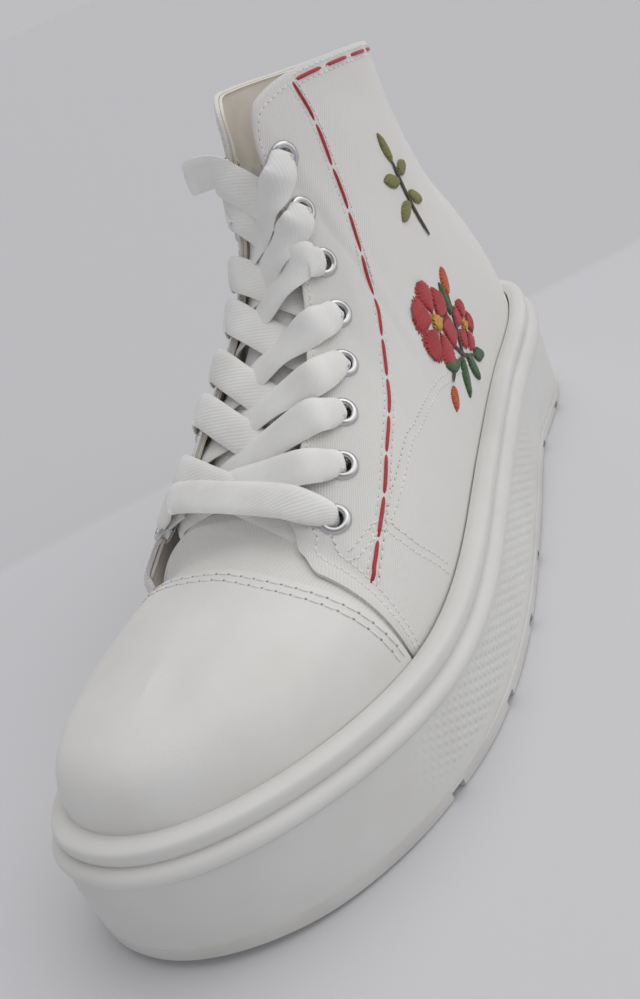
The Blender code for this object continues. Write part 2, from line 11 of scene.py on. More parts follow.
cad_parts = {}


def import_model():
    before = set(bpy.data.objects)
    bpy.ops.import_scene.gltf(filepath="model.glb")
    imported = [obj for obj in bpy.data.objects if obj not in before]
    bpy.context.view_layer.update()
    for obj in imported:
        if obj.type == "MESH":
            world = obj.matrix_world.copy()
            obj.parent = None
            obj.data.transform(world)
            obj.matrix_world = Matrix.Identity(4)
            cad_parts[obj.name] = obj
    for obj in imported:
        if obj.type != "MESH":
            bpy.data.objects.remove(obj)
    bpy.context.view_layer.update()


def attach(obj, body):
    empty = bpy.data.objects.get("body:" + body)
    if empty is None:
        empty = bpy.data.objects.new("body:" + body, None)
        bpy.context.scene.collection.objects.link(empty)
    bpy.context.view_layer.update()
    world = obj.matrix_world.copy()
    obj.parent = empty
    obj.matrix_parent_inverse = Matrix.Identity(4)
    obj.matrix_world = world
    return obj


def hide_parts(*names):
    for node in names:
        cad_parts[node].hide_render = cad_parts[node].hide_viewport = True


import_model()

# Outsole
# The tread plate is moulded in white rubber, about 5 mm thick, and cemented under the midsole.
# Broad grooves run across it from side to side and show as notches in its edge.
MM = 0.001
MID_ACROSS = 2.72935
MID_ALONG = 140.75


def table(names, *rows):
    """A table's columns by name, each as an array."""
    return dict(zip(names.split(), np.array(rows, float).T))


SOLE_LENGTH = 283.0
HEEL_ACROSS = 0.5
TOE_ACROSS = -9.5
SOLE_PLAN = table(
    "along lateral medial",
    (276.0, 14.0, -32.0),
    (260.0, 32.0, -43.0),
    (238.0, 45.8, -49.0),
    (208.0, 55.0, -51.0),
    (178.0, 55.2, -47.6),
    (138.0, 48.7, -38.6),
    (98.0, 41.8, -34.3),
    (58.0, 36.8, -35.4),
    (28.0, 33.6, -35.0),
    (6.5, 22.0, -22.5),
)
TREAD_EDGE = table(
    "along inset lift",
    (0.0, -1.5, 2.0),
    (14.0, -0.5, 0.0),
    (58.0, 1.3, 0.0),
    (88.0, -0.5, 0.6),
    (112.0, -1.8, 0.6),
    (138.0, -2.2, 0.0),
    (198.0, -0.3, 0.0),
    (226.0, 0.3, 0.0),
    (260.0, 0.0, 1.0),
    (283.0, 0.5, 2.8),
)


def smooth(x, xs, ys):
    """Cubic through a table's rows with no overshoot, level at both ends."""
    xs, ys = np.asarray(xs, float), np.asarray(ys, float)
    step = np.diff(xs)
    slope = np.diff(ys) / step
    before, after = slope[:-1], slope[1:]
    turning = before * after > 0
    safe_before = np.where(turning, before, 1.0)
    safe_after = np.where(turning, after, 1.0)
    weight_a = 2 * step[1:] + step[:-1]
    weight_b = step[1:] + 2 * step[:-1]
    mean = (weight_a + weight_b) / (weight_a / safe_before + weight_b / safe_after)
    tangent = np.concatenate([[0.0], np.where(turning, mean, 0.0), [0.0]])
    x = np.clip(np.asarray(x, float), xs[0], xs[-1])
    i = np.clip(np.searchsorted(xs, x, "right") - 1, 0, len(step) - 1)
    u = (x - xs[i]) / step[i]
    low = (1 + 2 * u) * (1 - u) ** 2 * ys[i] + u * (1 - u) ** 2 * step[i] * tangent[i]
    high = u**2 * (3 - 2 * u) * ys[i + 1] + u**2 * (u - 1) * step[i] * tangent[i + 1]
    return low + high


def closed_spline(points, per_span):
    """Loop through the points with continuous curvature."""
    ahead = np.roll(points, -1, 0)
    chord = np.linalg.norm(ahead - points, axis=1)[:, None]
    behind = np.roll(chord, 1, 0)
    count = len(points)
    place = np.arange(count)
    matrix = np.zeros((count, count))
    matrix[place, place] = (2 / behind + 2 / chord)[:, 0]
    matrix[place, place - 1] = (1 / behind)[:, 0]
    matrix[place, (place + 1) % count] = (1 / chord)[:, 0]
    rise = (ahead - points) / chord**2
    tangent = np.linalg.solve(matrix, 3 * (rise + np.roll(rise, 1, 0)))
    next_tangent = np.roll(tangent, -1, 0)
    u = np.linspace(0, 1, per_span, endpoint=False)[None, :, None]
    start = points[:, None] * (1 + 2 * u) * (1 - u) ** 2
    start = start + (tangent * chord)[:, None] * u * (1 - u) ** 2
    end = ahead[:, None] * u**2 * (3 - 2 * u)
    end = end + (next_tangent * chord)[:, None] * u**2 * (u - 1)
    return (start + end).reshape(-1, 2)


PER_SPAN = 40
PLAN_LOOP = closed_spline(
    np.vstack(
        [
            [(TOE_ACROSS, SOLE_LENGTH)],
            np.column_stack([SOLE_PLAN["lateral"], SOLE_PLAN["along"]]),
            [(HEEL_ACROSS, 0.0)],
            np.column_stack([SOLE_PLAN["medial"], SOLE_PLAN["along"]])[::-1],
        ]
    ),
    PER_SPAN,
)
HEEL_PLACE = (len(SOLE_PLAN["along"]) + 1) * PER_SPAN
LATERAL, MEDIAL = 1, -1
SIDE_NAMES = {LATERAL: "lateral", MEDIAL: "medial"}
HALF_PLAN = {
    LATERAL: PLAN_LOOP[: HEEL_PLACE + 1],
    MEDIAL: np.vstack([PLAN_LOOP[HEEL_PLACE:], PLAN_LOOP[:1]])[::-1],
}


def unit(vectors):
    """Vectors brought to length one."""
    return vectors / np.linalg.norm(vectors, axis=-1)[..., None]


def half_course(side):
    """Parts of the way from toe to heel, and the outward directions there."""
    half = HALF_PLAN[side]
    run = np.linalg.norm(np.diff(half, axis=0), axis=1)
    part = np.concatenate([[0.0], np.cumsum(run)]) / run.sum()
    heading = np.gradient(half, part, axis=0)
    heading[0] = (side, 0.0)
    heading[-1] = (-side, 0.0)
    heading = unit(heading)
    return part, side * np.column_stack([-heading[:, 1], heading[:, 0]])


HALF_COURSE = {side: half_course(side) for side in HALF_PLAN}


def plan(side, part, inset):
    """Plan points and outward directions at parts of the way from toe to heel."""
    half = HALF_PLAN[side]
    course, outward_way = HALF_COURSE[side]
    point = np.stack([np.interp(part, course, half[:, k]) for k in range(2)], -1)
    away = np.stack([np.interp(part, course, outward_way[:, k]) for k in range(2)], -1)
    away = unit(away)
    return point - away * np.asarray(inset)[..., None], away


SPANS = 220
ROUNDS = np.linspace(0, 1, SPANS + 1)
LOOP_ROUNDS = [(LATERAL, ROUNDS), (MEDIAL, ROUNDS[-2:0:-1])]
LOOP_ALONG = np.concatenate([plan(side, part, 0.0 * part)[0][:, 1] for side, part in LOOP_ROUNDS])
LOOP_COUNT = 2 * SPANS


def ring(inset, up):
    """A loop round the sole at an inset and a height, each one value or one for each place."""
    inset = np.broadcast_to(np.asarray(inset, float), LOOP_COUNT)
    up = np.broadcast_to(np.asarray(up, float), LOOP_COUNT)
    parts = (inset[: SPANS + 1], inset[SPANS + 1 :])
    flat = [plan(side, part, own)[0] for (side, part), own in zip(LOOP_ROUNDS, parts)]
    return np.column_stack([np.vstack(flat), up])


def world(points):
    """Metres in the model's frame."""
    points = np.asarray(points, float)
    placed = [points[..., 0] - MID_ACROSS, MID_ALONG - points[..., 1], points[..., 2]]
    return np.stack(placed, -1) * MM


def run_along(points, axis):
    """How far along its rows or columns each point of a grid lies."""
    step = np.linalg.norm(np.diff(points, axis=axis), axis=-1)
    start = np.zeros_like(np.take(step, [0], axis=axis))
    return np.concatenate([start, np.cumsum(step, axis=axis)], axis=axis)


def grid_piece(name, points, closed=False):
    """A smooth sheet over rows of points: a plain grid shaped point by point, its UV map in millimetres."""
    points = np.asarray(points, float)
    if closed:
        points = np.concatenate([points, points[:, :1]], axis=1)
    rows, columns = points.shape[:2]
    bpy.ops.object.select_all(action="DESELECT")
    bpy.ops.mesh.primitive_grid_add(x_subdivisions=columns - 1, y_subdivisions=rows - 1)
    piece = bpy.context.object
    piece.name = piece.data.name = name
    piece.data.vertices.foreach_set("co", world(points).ravel())
    along_rows = np.broadcast_to(run_along(points, 1).mean(0), (rows, columns))
    uv = np.stack([along_rows, run_along(points, 0)], -1).reshape(-1, 2)
    corners = np.empty(len(piece.data.loops), np.int32)
    piece.data.loops.foreach_get("vertex_index", corners)
    piece.data.uv_layers.active.data.foreach_set("uv", uv[corners].ravel())
    piece.data.update()
    return piece


def open_mesh(piece, choice="SELECT"):
    """Enters edit mode on a piece, with all of it selected or none of it."""
    bpy.context.view_layer.objects.active = piece
    bpy.ops.object.mode_set(mode="EDIT")
    bpy.ops.mesh.select_all(action=choice)


def weld(piece):
    """Merges points that coincide."""
    open_mesh(piece)
    bpy.ops.mesh.remove_doubles(threshold=1e-6)
    bpy.ops.object.mode_set(mode="OBJECT")


def face_out(piece, core):
    """Turns the faces of a sheet away from a core point."""
    mesh = piece.data
    count = len(mesh.polygons)
    normal, centre, area = np.empty(count * 3), np.empty(count * 3), np.empty(count)
    mesh.polygons.foreach_get("normal", normal)
    mesh.polygons.foreach_get("center", centre)
    mesh.polygons.foreach_get("area", area)
    away = centre.reshape(-1, 3) - world(core)
    if (np.einsum("ij,ij->i", normal.reshape(-1, 3), away) * area).sum() < 0:
        mesh.flip_normals()


def apply_modifier(piece, kind, **settings):
    """Adds a modifier with these settings and applies it."""
    bpy.context.view_layer.objects.active = piece
    step = piece.modifiers.new(kind.title(), kind)
    for key, value in settings.items():
        setattr(step, key, value)
    bpy.ops.object.modifier_apply(modifier=step.name)


def thicken(piece, thickness):
    """Gives a sheet a wall on its inner side."""
    apply_modifier(piece, "SOLIDIFY", thickness=thickness * MM, offset=-1.0, use_even_offset=False)


def shade(piece, degrees=40.0):
    """Smooth shading with crisp edges past an angle."""
    bpy.ops.object.select_all(action="DESELECT")
    piece.select_set(True)
    bpy.context.view_layer.objects.active = piece
    bpy.ops.object.shade_smooth_by_angle(angle=math.radians(degrees))


def recalculate(piece):
    """Turns the faces of a closed body out."""
    open_mesh(piece)
    bpy.ops.mesh.normals_make_consistent(inside=False)
    bpy.ops.object.mode_set(mode="OBJECT")


def close_ends(piece):
    """Fills the open loops of a tube."""
    open_mesh(piece, "DESELECT")
    bpy.ops.mesh.select_mode(type="EDGE")
    bpy.ops.mesh.select_non_manifold()
    bpy.ops.mesh.edge_face_add()
    bpy.ops.mesh.select_mode(type="VERT")
    bpy.ops.object.mode_set(mode="OBJECT")


def seal(tube):
    """Makes a tube of rows a closed body: its seam welded, its ends filled, its faces turned out."""
    weld(tube)
    close_ends(tube)
    recalculate(tube)


def dress(piece, look, slot, *nodes):
    """Gives a piece its material and its place on the shoe, and hides the solids that it stands for."""
    piece.data.materials.clear()
    piece.data.materials.append(look)
    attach(piece, "root")
    if nodes:
        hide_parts(*nodes)


def colour(code):
    """Linear colour from an sRGB hex value."""
    parts = [int(code[i : i + 2], 16) / 255 for i in (1, 3, 5)]
    return (*[c / 12.92 if c <= 0.04045 else ((c + 0.055) / 1.055) ** 2.4 for c in parts], 1.0)


def add_node(look, kind, inputs=(), **settings):
    """Adds a node; an input takes a value, or a link from another node's output."""
    node = look.node_tree.nodes.new(kind)
    for key, value in settings.items():
        setattr(node, key, value)
    for key, value in dict(inputs).items():
        if isinstance(value, bpy.types.NodeSocket):
            look.node_tree.links.new(value, node.inputs[key])
        else:
            node.inputs[key].default_value = value
    return node


def start_material(name, **sockets):
    """A material with its shader's own values set."""
    look = bpy.data.materials.new(name)
    look.use_nodes = True
    shader = look.node_tree.nodes["Principled BSDF"]
    for key, value in sockets.items():
        shader.inputs[key.replace("_", " ").title()].default_value = value
    return look, shader


def link(look, output, node, name):
    """Links an output to an input of a node that is there already."""
    look.node_tree.links.new(output, node.inputs[name])


OUTSOLE_THICKNESS = 5.0
GROOVE_WIDTH = 5.0
GROOVE_DEPTH = 3.0
GROOVE_STATIONS = (38.0, 66.0, 132.0, 162.0, 192.5, 224.0)
OUTSOLE_EDGE = table("inset rise", (1.2, 0.0), (0.35, 0.35), (0.0, 1.2), (0.0, 4.8), (0.15, 5.0))

lift = smooth(LOOP_ALONG, TREAD_EDGE["along"], TREAD_EDGE["lift"])
tread_inset = smooth(LOOP_ALONG, TREAD_EDGE["along"], TREAD_EDGE["inset"])
outsole_rings = [ring(tread_inset + inset, lift + rise) for inset, rise in zip(*OUTSOLE_EDGE.values())]
outsole = grid_piece("outsole_tread", outsole_rings, closed=True)
seal(outsole)
apply_modifier(outsole, "TRIANGULATE")
cutters = []
for station in GROOVE_STATIONS:
    bpy.ops.object.select_all(action="DESELECT")
    bpy.ops.mesh.primitive_cube_add(size=1, location=world((0.0, station, 0.0)))
    cutter = bpy.context.object
    cutter.scale = (SOLE_LENGTH * MM, GROOVE_WIDTH * MM, 2 * GROOVE_DEPTH * MM)
    bpy.ops.object.transform_apply(location=True, rotation=True, scale=True)
    cutters.append(cutter)
# One cut for all the grooves: a second cut through the first one's faces fails
for cutter in cutters:
    cutter.select_set(True)
bpy.context.view_layer.objects.active = cutters[0]
bpy.ops.object.join()
apply_modifier(outsole, "BOOLEAN", object=cutters[0], operation="DIFFERENCE", solver="EXACT")
bpy.data.objects.remove(cutters[0])
shade(outsole, 35.0)

DRIFT_STOPS = (0.3, 0.65)


def drift(look, shader, size, light, dark):
    """Two close tones that drift into each other over a piece, so that it isn't one flat colour."""
    place = add_node(look, "ShaderNodeTexCoord")
    cloud = add_node(
        look,
        "ShaderNodeTexNoise",
        {"Vector": place.outputs["Object"], "Scale": 1 / (size * MM), "Detail": 3.0},
    )
    shades = add_node(look, "ShaderNodeValToRGB", {"Fac": cloud.outputs["Fac"]})
    for stop, position, code in zip(shades.color_ramp.elements, DRIFT_STOPS, (dark, light)):
        stop.position = position
        stop.color = colour(code)
    link(look, shades.outputs["Color"], shader, "Base Color")
    return cloud, shades


# Moulded white rubber: a slightly warm white, faintly clouded, with a satin gloss and a fine mould grain.
MOULD_GRAIN = 0.9
RUBBER_CLOUD = 22.0


def rubber(name, light, dark):
    """Moulded rubber, with the bump node that gives it its grain."""
    look, shader = start_material(name, roughness=0.5)
    drift(look, shader, RUBBER_CLOUD, light, dark)
    place = add_node(look, "ShaderNodeTexCoord")
    grain = add_node(
        look,
        "ShaderNodeTexNoise",
        {"Vector": place.outputs["Object"], "Scale": 1 / (MOULD_GRAIN * MM), "Detail": 2.0},
    )
    relief = add_node(
        look, "ShaderNodeBump", {"Height": grain.outputs["Fac"], "Strength": 0.25, "Distance": 0.05 * MM}
    )
    link(look, relief.outputs["Normal"], shader, "Normal")
    return look, relief


tread_rubber, _ = rubber("moulded_tread_rubber", "#DDDCD8", "#D0CFCA")
dress(outsole, tread_rubber, "tread_rubber", "outsole")

# Midsole
# The thick platform under the foot is one block of moulded foam rubber, cemented on the tread plate.
# Its side leans with the tread's edge and carries a panel of low moulded lozenges along the waist.
SIDE_LINES = table(
    "along lip groove parting",
    (0.0, 45.2, 39.2, 30.0),
    (58.0, 39.7, 35.0, 28.0),
    (138.0, 36.1, 31.0, 25.0),
    (198.0, 35.2, 30.0, 25.2),
    (283.0, 39.9, 35.0, 30.5),
)
MIDSOLE_SIDE = table("tread_share inset rise", (1.0, 0.05, 0.0), (0.45, 0.35, 0.55), (0.0, 0.9, 1.0))
LEDGE = table("along ledge", (0.0, 0.4), (60.0, 0.7), (190.0, 0.7), (222.0, 0.0), (283.0, 0.0))
MIDSOLE_ROWS = 26
GAP = 0.3
CEMENT = 0.05
TOE_TUCK = table(
    "along tuck", (190.0, 0.0), (215.0, 0.7), (240.0, 2.5), (258.0, 3.3), (272.0, 2.2), (283.0, 0.0)
)
TUCK_SHARE = 0.85


def side_line(name, along):
    """Height of a line of the sole's side at a station."""
    return smooth(along, SIDE_LINES["along"], SIDE_LINES[name])


parting = side_line("parting", LOOP_ALONG)
# The inner side of the toe is drawn in a little towards its top
on_medial = np.arange(LOOP_COUNT) > SPANS
tuck = np.where(on_medial, smooth(LOOP_ALONG, TOE_TUCK["along"], TOE_TUCK["tuck"]), 0.0)
ledge = smooth(LOOP_ALONG, LEDGE["along"], LEDGE["ledge"])
midsole_foot = lift + OUTSOLE_THICKNESS + CEMENT
midsole_rings = []
for rise in np.linspace(0, 1, MIDSOLE_ROWS):
    share, inset = [smooth(rise, MIDSOLE_SIDE["rise"], MIDSOLE_SIDE[key]) for key in ("tread_share", "inset")]
    drawn_in = tread_inset * share + inset + ledge * (1 - rise) + tuck * TUCK_SHARE * rise**2
    midsole_rings.append(ring(drawn_in, midsole_foot * (1 - rise) + parting * rise))
midsole = grid_piece("midsole_block", midsole_rings, closed=True)
seal(midsole)
shade(midsole)

# The same rubber with low lozenges: two sets of ridges that cross, fading out before the toe and the heel.
LOZENGE_PITCH = 2.6
LOZENGE_SLANTS = (math.radians(24.0), math.radians(-58.0))
LOZENGE_DEPTH = 0.5
# Where the panel fades in: from none to full along each axis, in metres
LOZENGE_FADES = (
    ("Y", -0.100, -0.068),
    ("Y", 0.064, 0.042),
    ("Z", 0.0075, 0.010),
    ("Z", 0.0265, 0.023),
)
# A wave texture of this scale has ridges one unit apart
WAVE_PITCH = 0.31416
sidewall_rubber, sidewall_grain = rubber("moulded_sidewall_rubber", "#E0DFDC", "#DAD9D5")
place = add_node(sidewall_rubber, "ShaderNodeTexCoord")
ridges = []
for slant in LOZENGE_SLANTS:
    turned = add_node(
        sidewall_rubber, "ShaderNodeMapping", {"Vector": place.outputs["UV"], "Rotation": (0.0, 0.0, slant)}
    )
    ridges.append(
        add_node(
            sidewall_rubber,
            "ShaderNodeTexWave",
            {"Vector": turned.outputs["Vector"], "Scale": WAVE_PITCH / LOZENGE_PITCH},
            bands_direction="X",
        )
    )
lozenge = add_node(
    sidewall_rubber,
    "ShaderNodeMath",
    {0: ridges[0].outputs["Fac"], 1: ridges[1].outputs["Fac"]},
    operation="MULTIPLY",
)
spread = add_node(sidewall_rubber, "ShaderNodeSeparateXYZ", {"Vector": place.outputs["Object"]})
for axis, low, high in LOZENGE_FADES:
    share = add_node(
        sidewall_rubber,
        "ShaderNodeMapRange",
        {"Value": spread.outputs[axis], "From Min": low, "From Max": high},
        interpolation_type="SMOOTHSTEP",
    )
    lozenge = add_node(
        sidewall_rubber,
        "ShaderNodeMath",
        {0: lozenge.outputs["Value"], 1: share.outputs["Result"]},
        operation="MULTIPLY",
    )
raised = add_node(
    sidewall_rubber,
    "ShaderNodeBump",
    {"Height": lozenge.outputs["Value"], "Strength": 0.6, "Distance": LOZENGE_DEPTH * MM},
)
link(sidewall_rubber, raised.outputs["Normal"], sidewall_grain, "Normal")
dress(midsole, sidewall_rubber, "white_rubber", "midsole")

# Foxing
# A moulded rubber strip wraps the foot of the upper: a full lower roll, a groove, and a flatter
# upper band whose lip rolls in against the canvas. It is cemented to the midsole along a crisp line.
FOXING_SECTION = table(
    "inset from_parting from_groove from_lip",
    (2.6, 1.0, 0.0, 0.0),
    (1.0, 0.98, 0.02, 0.0),
    (0.3, 0.84, 0.16, 0.0),
    (0.0, 0.60, 0.40, 0.0),
    (0.25, 0.37, 0.63, 0.0),
    (1.0, 0.17, 0.83, 0.0),
    (2.3, 0.04, 0.96, 0.0),
    (3.5, 0.0, 1.0, 0.0),
    (3.35, 0.0, 0.93, 0.07),
    (3.0, 0.0, 0.76, 0.24),
    (2.85, 0.0, 0.52, 0.48),
    (2.95, 0.0, 0.28, 0.72),
    (3.5, 0.0, 0.10, 0.90),
    (4.8, 0.0, 0.01, 0.99),
    (6.8, 0.0, 0.0, 1.0),
    (8.9, 0.0, 0.12, 0.88),
)
FOXING_ROWS = 64
FOXING_WALL = 1.2
FOXING_CORE = (0.0, 140.0, 34.0)
groove_line = side_line("groove", LOOP_ALONG)
lip = side_line("lip", LOOP_ALONG)


def trace(values, count):
    """Rounded curve through rows of values, each eased by its neighbours, as this many points."""
    values = np.asarray(values, float)
    slope = np.gradient(values, axis=0)
    x = np.linspace(0, len(values) - 1, count)
    i = np.clip(x.astype(int), 0, len(values) - 2)
    u = (x - i).reshape((-1,) + (1,) * (values.ndim - 1))
    start = (1 + 2 * u) * (1 - u) ** 2 * values[i] + u * (1 - u) ** 2 * slope[i]
    return start + u**2 * (3 - 2 * u) * values[i + 1] + u**2 * (u - 1) * slope[i + 1]


def trace_table(rows, count):
    """Rounded curve through a table's rows."""
    return trace(np.column_stack(list(rows.values())), count)


foxing = grid_piece(
    "foxing_strip",
    [
        ring(inset + tuck, (parting + CEMENT) * low + groove_line * mid + lip * high)
        for inset, low, mid, high in trace_table(FOXING_SECTION, FOXING_ROWS)
    ],
    closed=True,
)
weld(foxing)
face_out(foxing, FOXING_CORE)
thicken(foxing, FOXING_WALL)
shade(foxing)
white_rubber, _ = rubber("moulded_white_rubber", "#E1E0DD", "#DBDAD6")
dress(foxing, white_rubber, "white_rubber", "foxing")

# Insole
# A moulded foam footbed with a cream cloth face, cupped towards its edge, laid loose in the shoe.
UPPER_INSET = 10.3
INSOLE_INSET = 12.7
INSOLE_THICKNESS = 5.0
INSOLE_BODY = 4.6
FAR_BELOW = (0.0, 140.0, -500.0)
INSOLE_HOLLOW = 1.2
INSOLE_ROWS = 90
INSOLE_COLUMNS = 31
insole_rounds = np.linspace(0, 1, INSOLE_ROWS)
insole_edges = [plan(side, insole_rounds, np.full(INSOLE_ROWS, INSOLE_INSET))[0] for side in SIDE_NAMES]
across_share = (1 - np.cos(np.linspace(0, np.pi, INSOLE_COLUMNS))) / 2
flat = insole_edges[0][:, None] * (1 - across_share)[None, :, None]
flat = flat + insole_edges[1][:, None] * across_share[None, :, None]
dish = (np.abs(2 * across_share - 1) ** 4 - 1) * INSOLE_HOLLOW
insole_up = side_line("parting", flat[..., 1]) + GAP + INSOLE_THICKNESS + dish
insole = grid_piece("insole_footbed", np.concatenate([flat, insole_up[..., None]], -1))
face_out(insole, FAR_BELOW)
weld(insole)
thicken(insole, INSOLE_BODY)
shade(insole)

# Cream lining cloth: a plain weave with a soft nap, drawn at 0.9 mm so that it shows.
LINING_THREAD = 0.9
cream_cloth, shader = start_material("cream_lining_cloth", roughness=0.95)
drift(cream_cloth, shader, 14.0, "#EFE9DE", "#E4DCCF")
place = add_node(cream_cloth, "ShaderNodeTexCoord")
warp, weft = [
    add_node(
        cream_cloth,
        "ShaderNodeTexWave",
        {"Vector": place.outputs["UV"], "Scale": WAVE_PITCH / LINING_THREAD},
        bands_direction=direction,
    )
    for direction in "XY"
]
weave = add_node(
    cream_cloth,
    "ShaderNodeMath",
    {0: warp.outputs["Fac"], 1: weft.outputs["Fac"]},
    operation="MULTIPLY",
)
relief = add_node(
    cream_cloth, "ShaderNodeBump", {"Height": weave.outputs["Value"], "Strength": 0.4, "Distance": 0.12 * MM}
)
link(cream_cloth, relief.outputs["Normal"], shader, "Normal")
dress(insole, cream_cloth, "cream_foam", "insole")

# Quarters
# The two sides and the heel are cut from white cotton twill, folded at the throat and collar edges
# and lasted under the foxing. The medial front corner stands a little off the vamp.
RIBS = table(
    "foot lateral medial along up crest_tilt foot_tilt crest_pull foot_pull",
    (283.0, 0.0, 0.0, 245.0, 57.5, 12.0, 88.0, 0.62, 0.58),
    (272.0, 0.0, 0.0, 241.0, 58.0, 10.0, 88.0, 0.62, 0.58),
    (255.0, 0.0, 0.0, 232.0, 59.0, 6.0, 88.0, 0.60, 0.56),
    (235.0, 0.0, 0.0, 220.0, 60.3, 3.0, 88.0, 0.56, 0.52),
    (213.0, 0.0, 0.0, 207.0, 61.6, 3.0, 88.0, 0.52, 0.50),
    (210.5, 0.0, 0.0, 197.0, 63.5, 8.0, 88.0, 0.50, 0.46),
    (207.0, 13.0, 19.0, 193.0, 66.5, 22.0, 88.0, 0.42, 0.44),
    (197.0, 16.0, 20.5, 180.0, 76.0, 38.0, 88.0, 0.38, 0.42),
    (186.0, 14.5, 17.5, 165.0, 87.0, 46.0, 88.0, 0.36, 0.40),
    (174.0, 12.5, 14.0, 150.0, 97.5, 52.0, 88.0, 0.35, 0.38),
    (162.0, 10.5, 11.0, 139.0, 107.5, 58.0, 88.0, 0.34, 0.37),
    (150.0, 8.5, 8.5, 130.0, 121.0, 64.0, 88.0, 0.33, 0.36),
    (140.0, 6.5, 6.5, 124.0, 135.0, 70.0, 88.0, 0.33, 0.35),
    (131.0, 5.5, 5.5, 120.0, 147.0, 76.0, 88.0, 0.33, 0.35),
    (124.0, 7.5, 7.5, 115.5, 156.0, 80.0, 88.0, 0.33, 0.35),
    (114.0, 13.0, 13.0, 104.0, 158.5, 84.0, 88.0, 0.33, 0.35),
    (95.0, 18.0, 18.0, 88.0, 157.0, 88.0, 88.0, 0.33, 0.35),
    (75.0, 19.5, 19.5, 72.0, 155.0, 90.0, 88.0, 0.34, 0.36),
    (52.0, 17.0, 17.0, 55.0, 152.5, 92.0, 87.5, 0.35, 0.38),
    (25.0, 10.0, 10.0, 40.0, 150.5, 94.0, 87.0, 0.36, 0.40),
    (0.0, 0.0, 0.0, 32.0, 149.5, 95.0, 87.0, 0.36, 0.42),
)
SPINE = table("along across", (32.0, -5.0), (72.0, -1.0), (115.0, 0.0), (200.0, 0.5), (245.0, -5.0))


def round_of(foot):
    """Part of the way from toe to heel where the lateral outline passes a station."""
    half = HALF_PLAN[LATERAL]
    return np.interp(-np.asarray(foot), -half[:, 1], HALF_COURSE[LATERAL][0])


# The last rib but one is mirrored past the heel, so that the collar closes there in a round
RIB_ROUNDS = round_of(RIBS["foot"])
RIB_ROUNDS = np.append(RIB_ROUNDS, 2 - RIB_ROUNDS[-2])
for key, column in RIBS.items():
    turn = -1 if key in SIDE_NAMES.values() else 1
    RIBS[key] = np.append(column, turn * column[-2])
CAP_ROUND, QUARTER_ROUND, CORNER_ROUND, COLLAR_ROUND = round_of([213.0, 211.6, 207.0, 124.0])


def bezier(points, u):
    """Cubic curve from four control points."""
    a, b, c, d = points
    u = np.asarray(u)[..., None]
    return a * (1 - u) ** 3 + 3 * b * u * (1 - u) ** 2 + 3 * c * u**2 * (1 - u) + d * u**3


def rib_controls(side, part):
    """The four control points of the ribs that start these parts of the way round."""
    foot, away = plan(side, part, 0.0 * part + UPPER_INSET)
    foot = np.concatenate([foot, side_line("parting", foot[..., 1])[..., None] + 2 * GAP], -1)
    away = np.concatenate([away, 0.0 * part[..., None]], -1)
    row = {key: smooth(part, RIB_ROUNDS, RIBS[key]) for key in RIBS}
    centre = smooth(row["along"], SPINE["along"], SPINE["across"])
    crest = np.stack([centre + side * row[SIDE_NAMES[side]], row["along"], row["up"]], -1)
    span = np.linalg.norm(crest - foot, axis=-1)[..., None]
    upward = np.array([0.0, 0.0, 1.0])
    foot_tilt, crest_tilt = [np.radians(row[key])[..., None] for key in ("foot_tilt", "crest_tilt")]
    leave = np.cos(foot_tilt) * away + np.sin(foot_tilt) * upward
    arrive = -np.cos(crest_tilt) * away + np.sin(crest_tilt) * upward
    low = foot + leave * span * row["foot_pull"][..., None]
    return foot, low, crest - arrive * span * row["crest_pull"][..., None], crest


def form(side, part, height):
    """Points of the last's form; past the toe or the heel they go on round the other side."""
    part, height = np.broadcast_arrays(np.asarray(part, float), np.asarray(height, float))
    folded = np.where(part < 0, -part, np.where(part > 1, 2 - part, part))
    over = ((part < 0) | (part > 1))[..., None]
    own = bezier(rib_controls(side, folded), height)
    return np.where(over, bezier(rib_controls(-side, folded), height), own)


def outward(side, part, height):
    """The form's outward direction, kept off the very ends of the ribs."""
    step = 1e-3
    height = np.clip(height, 0.02, 0.97)
    round_way = form(side, part + step, height) - form(side, part - step, height)
    up_way = form(side, part, height + step) - form(side, part, height - step)
    return unit(np.cross(round_way, up_way) * -side)


def layer(side, part, height, offset):
    """Points off the form."""
    part, height = np.broadcast_arrays(np.asarray(part, float), np.asarray(height, float))
    return form(side, part, height) + outward(side, part, height) * np.asarray(offset)[..., None]


def ease(x, start, end):
    """Soft step from 0 to 1."""
    u = np.clip((np.asarray(x, float) - start) / (end - start), 0, 1)
    return u * u * (3 - 2 * u)


QUARTER_STEP = 0.9
QUARTER_CLOTH = 1.3
# How far the front corners stand off the vamp, the collar's corner leans forward, and the throat's lateral
# corner is pulled in by the lace
FLARE = table(
    "foot lateral medial",
    (213.0, 1.0, 5.0),
    (208.0, 1.0, 4.8),
    (203.0, 0.8, 3.6),
    (197.0, 0.5, 2.0),
    (188.0, 0.2, 0.8),
    (170.0, 0.0, 0.0),
)
FORWARD = table(
    "foot lateral medial",
    (160.0, 0.0, 0.0),
    (140.0, 2.6, 0.0),
    (126.0, 4.6, 0.0),
    (112.0, 3.0, 0.0),
    (95.0, 0.0, 0.0),
)
INWARD = table(
    "foot lateral medial",
    (213.0, 4.6, 0.0),
    (206.0, 4.6, 0.0),
    (199.0, 2.4, 0.0),
    (190.0, 0.5, 0.0),
    (180.0, 0.0, 0.0),
)
EDGE_TURN = {LATERAL: (0.66, 1.0, CORNER_ROUND), MEDIAL: (0.26, 0.66, float(round_of(205.4)))}


def front_edge(side, height):
    """Where the quarter's front edge lies: up the cap's seam, then back to the throat's corner."""
    start, end, corner = EDGE_TURN[side]
    return QUARTER_ROUND + (corner - QUARTER_ROUND) * ease(height, start, end)


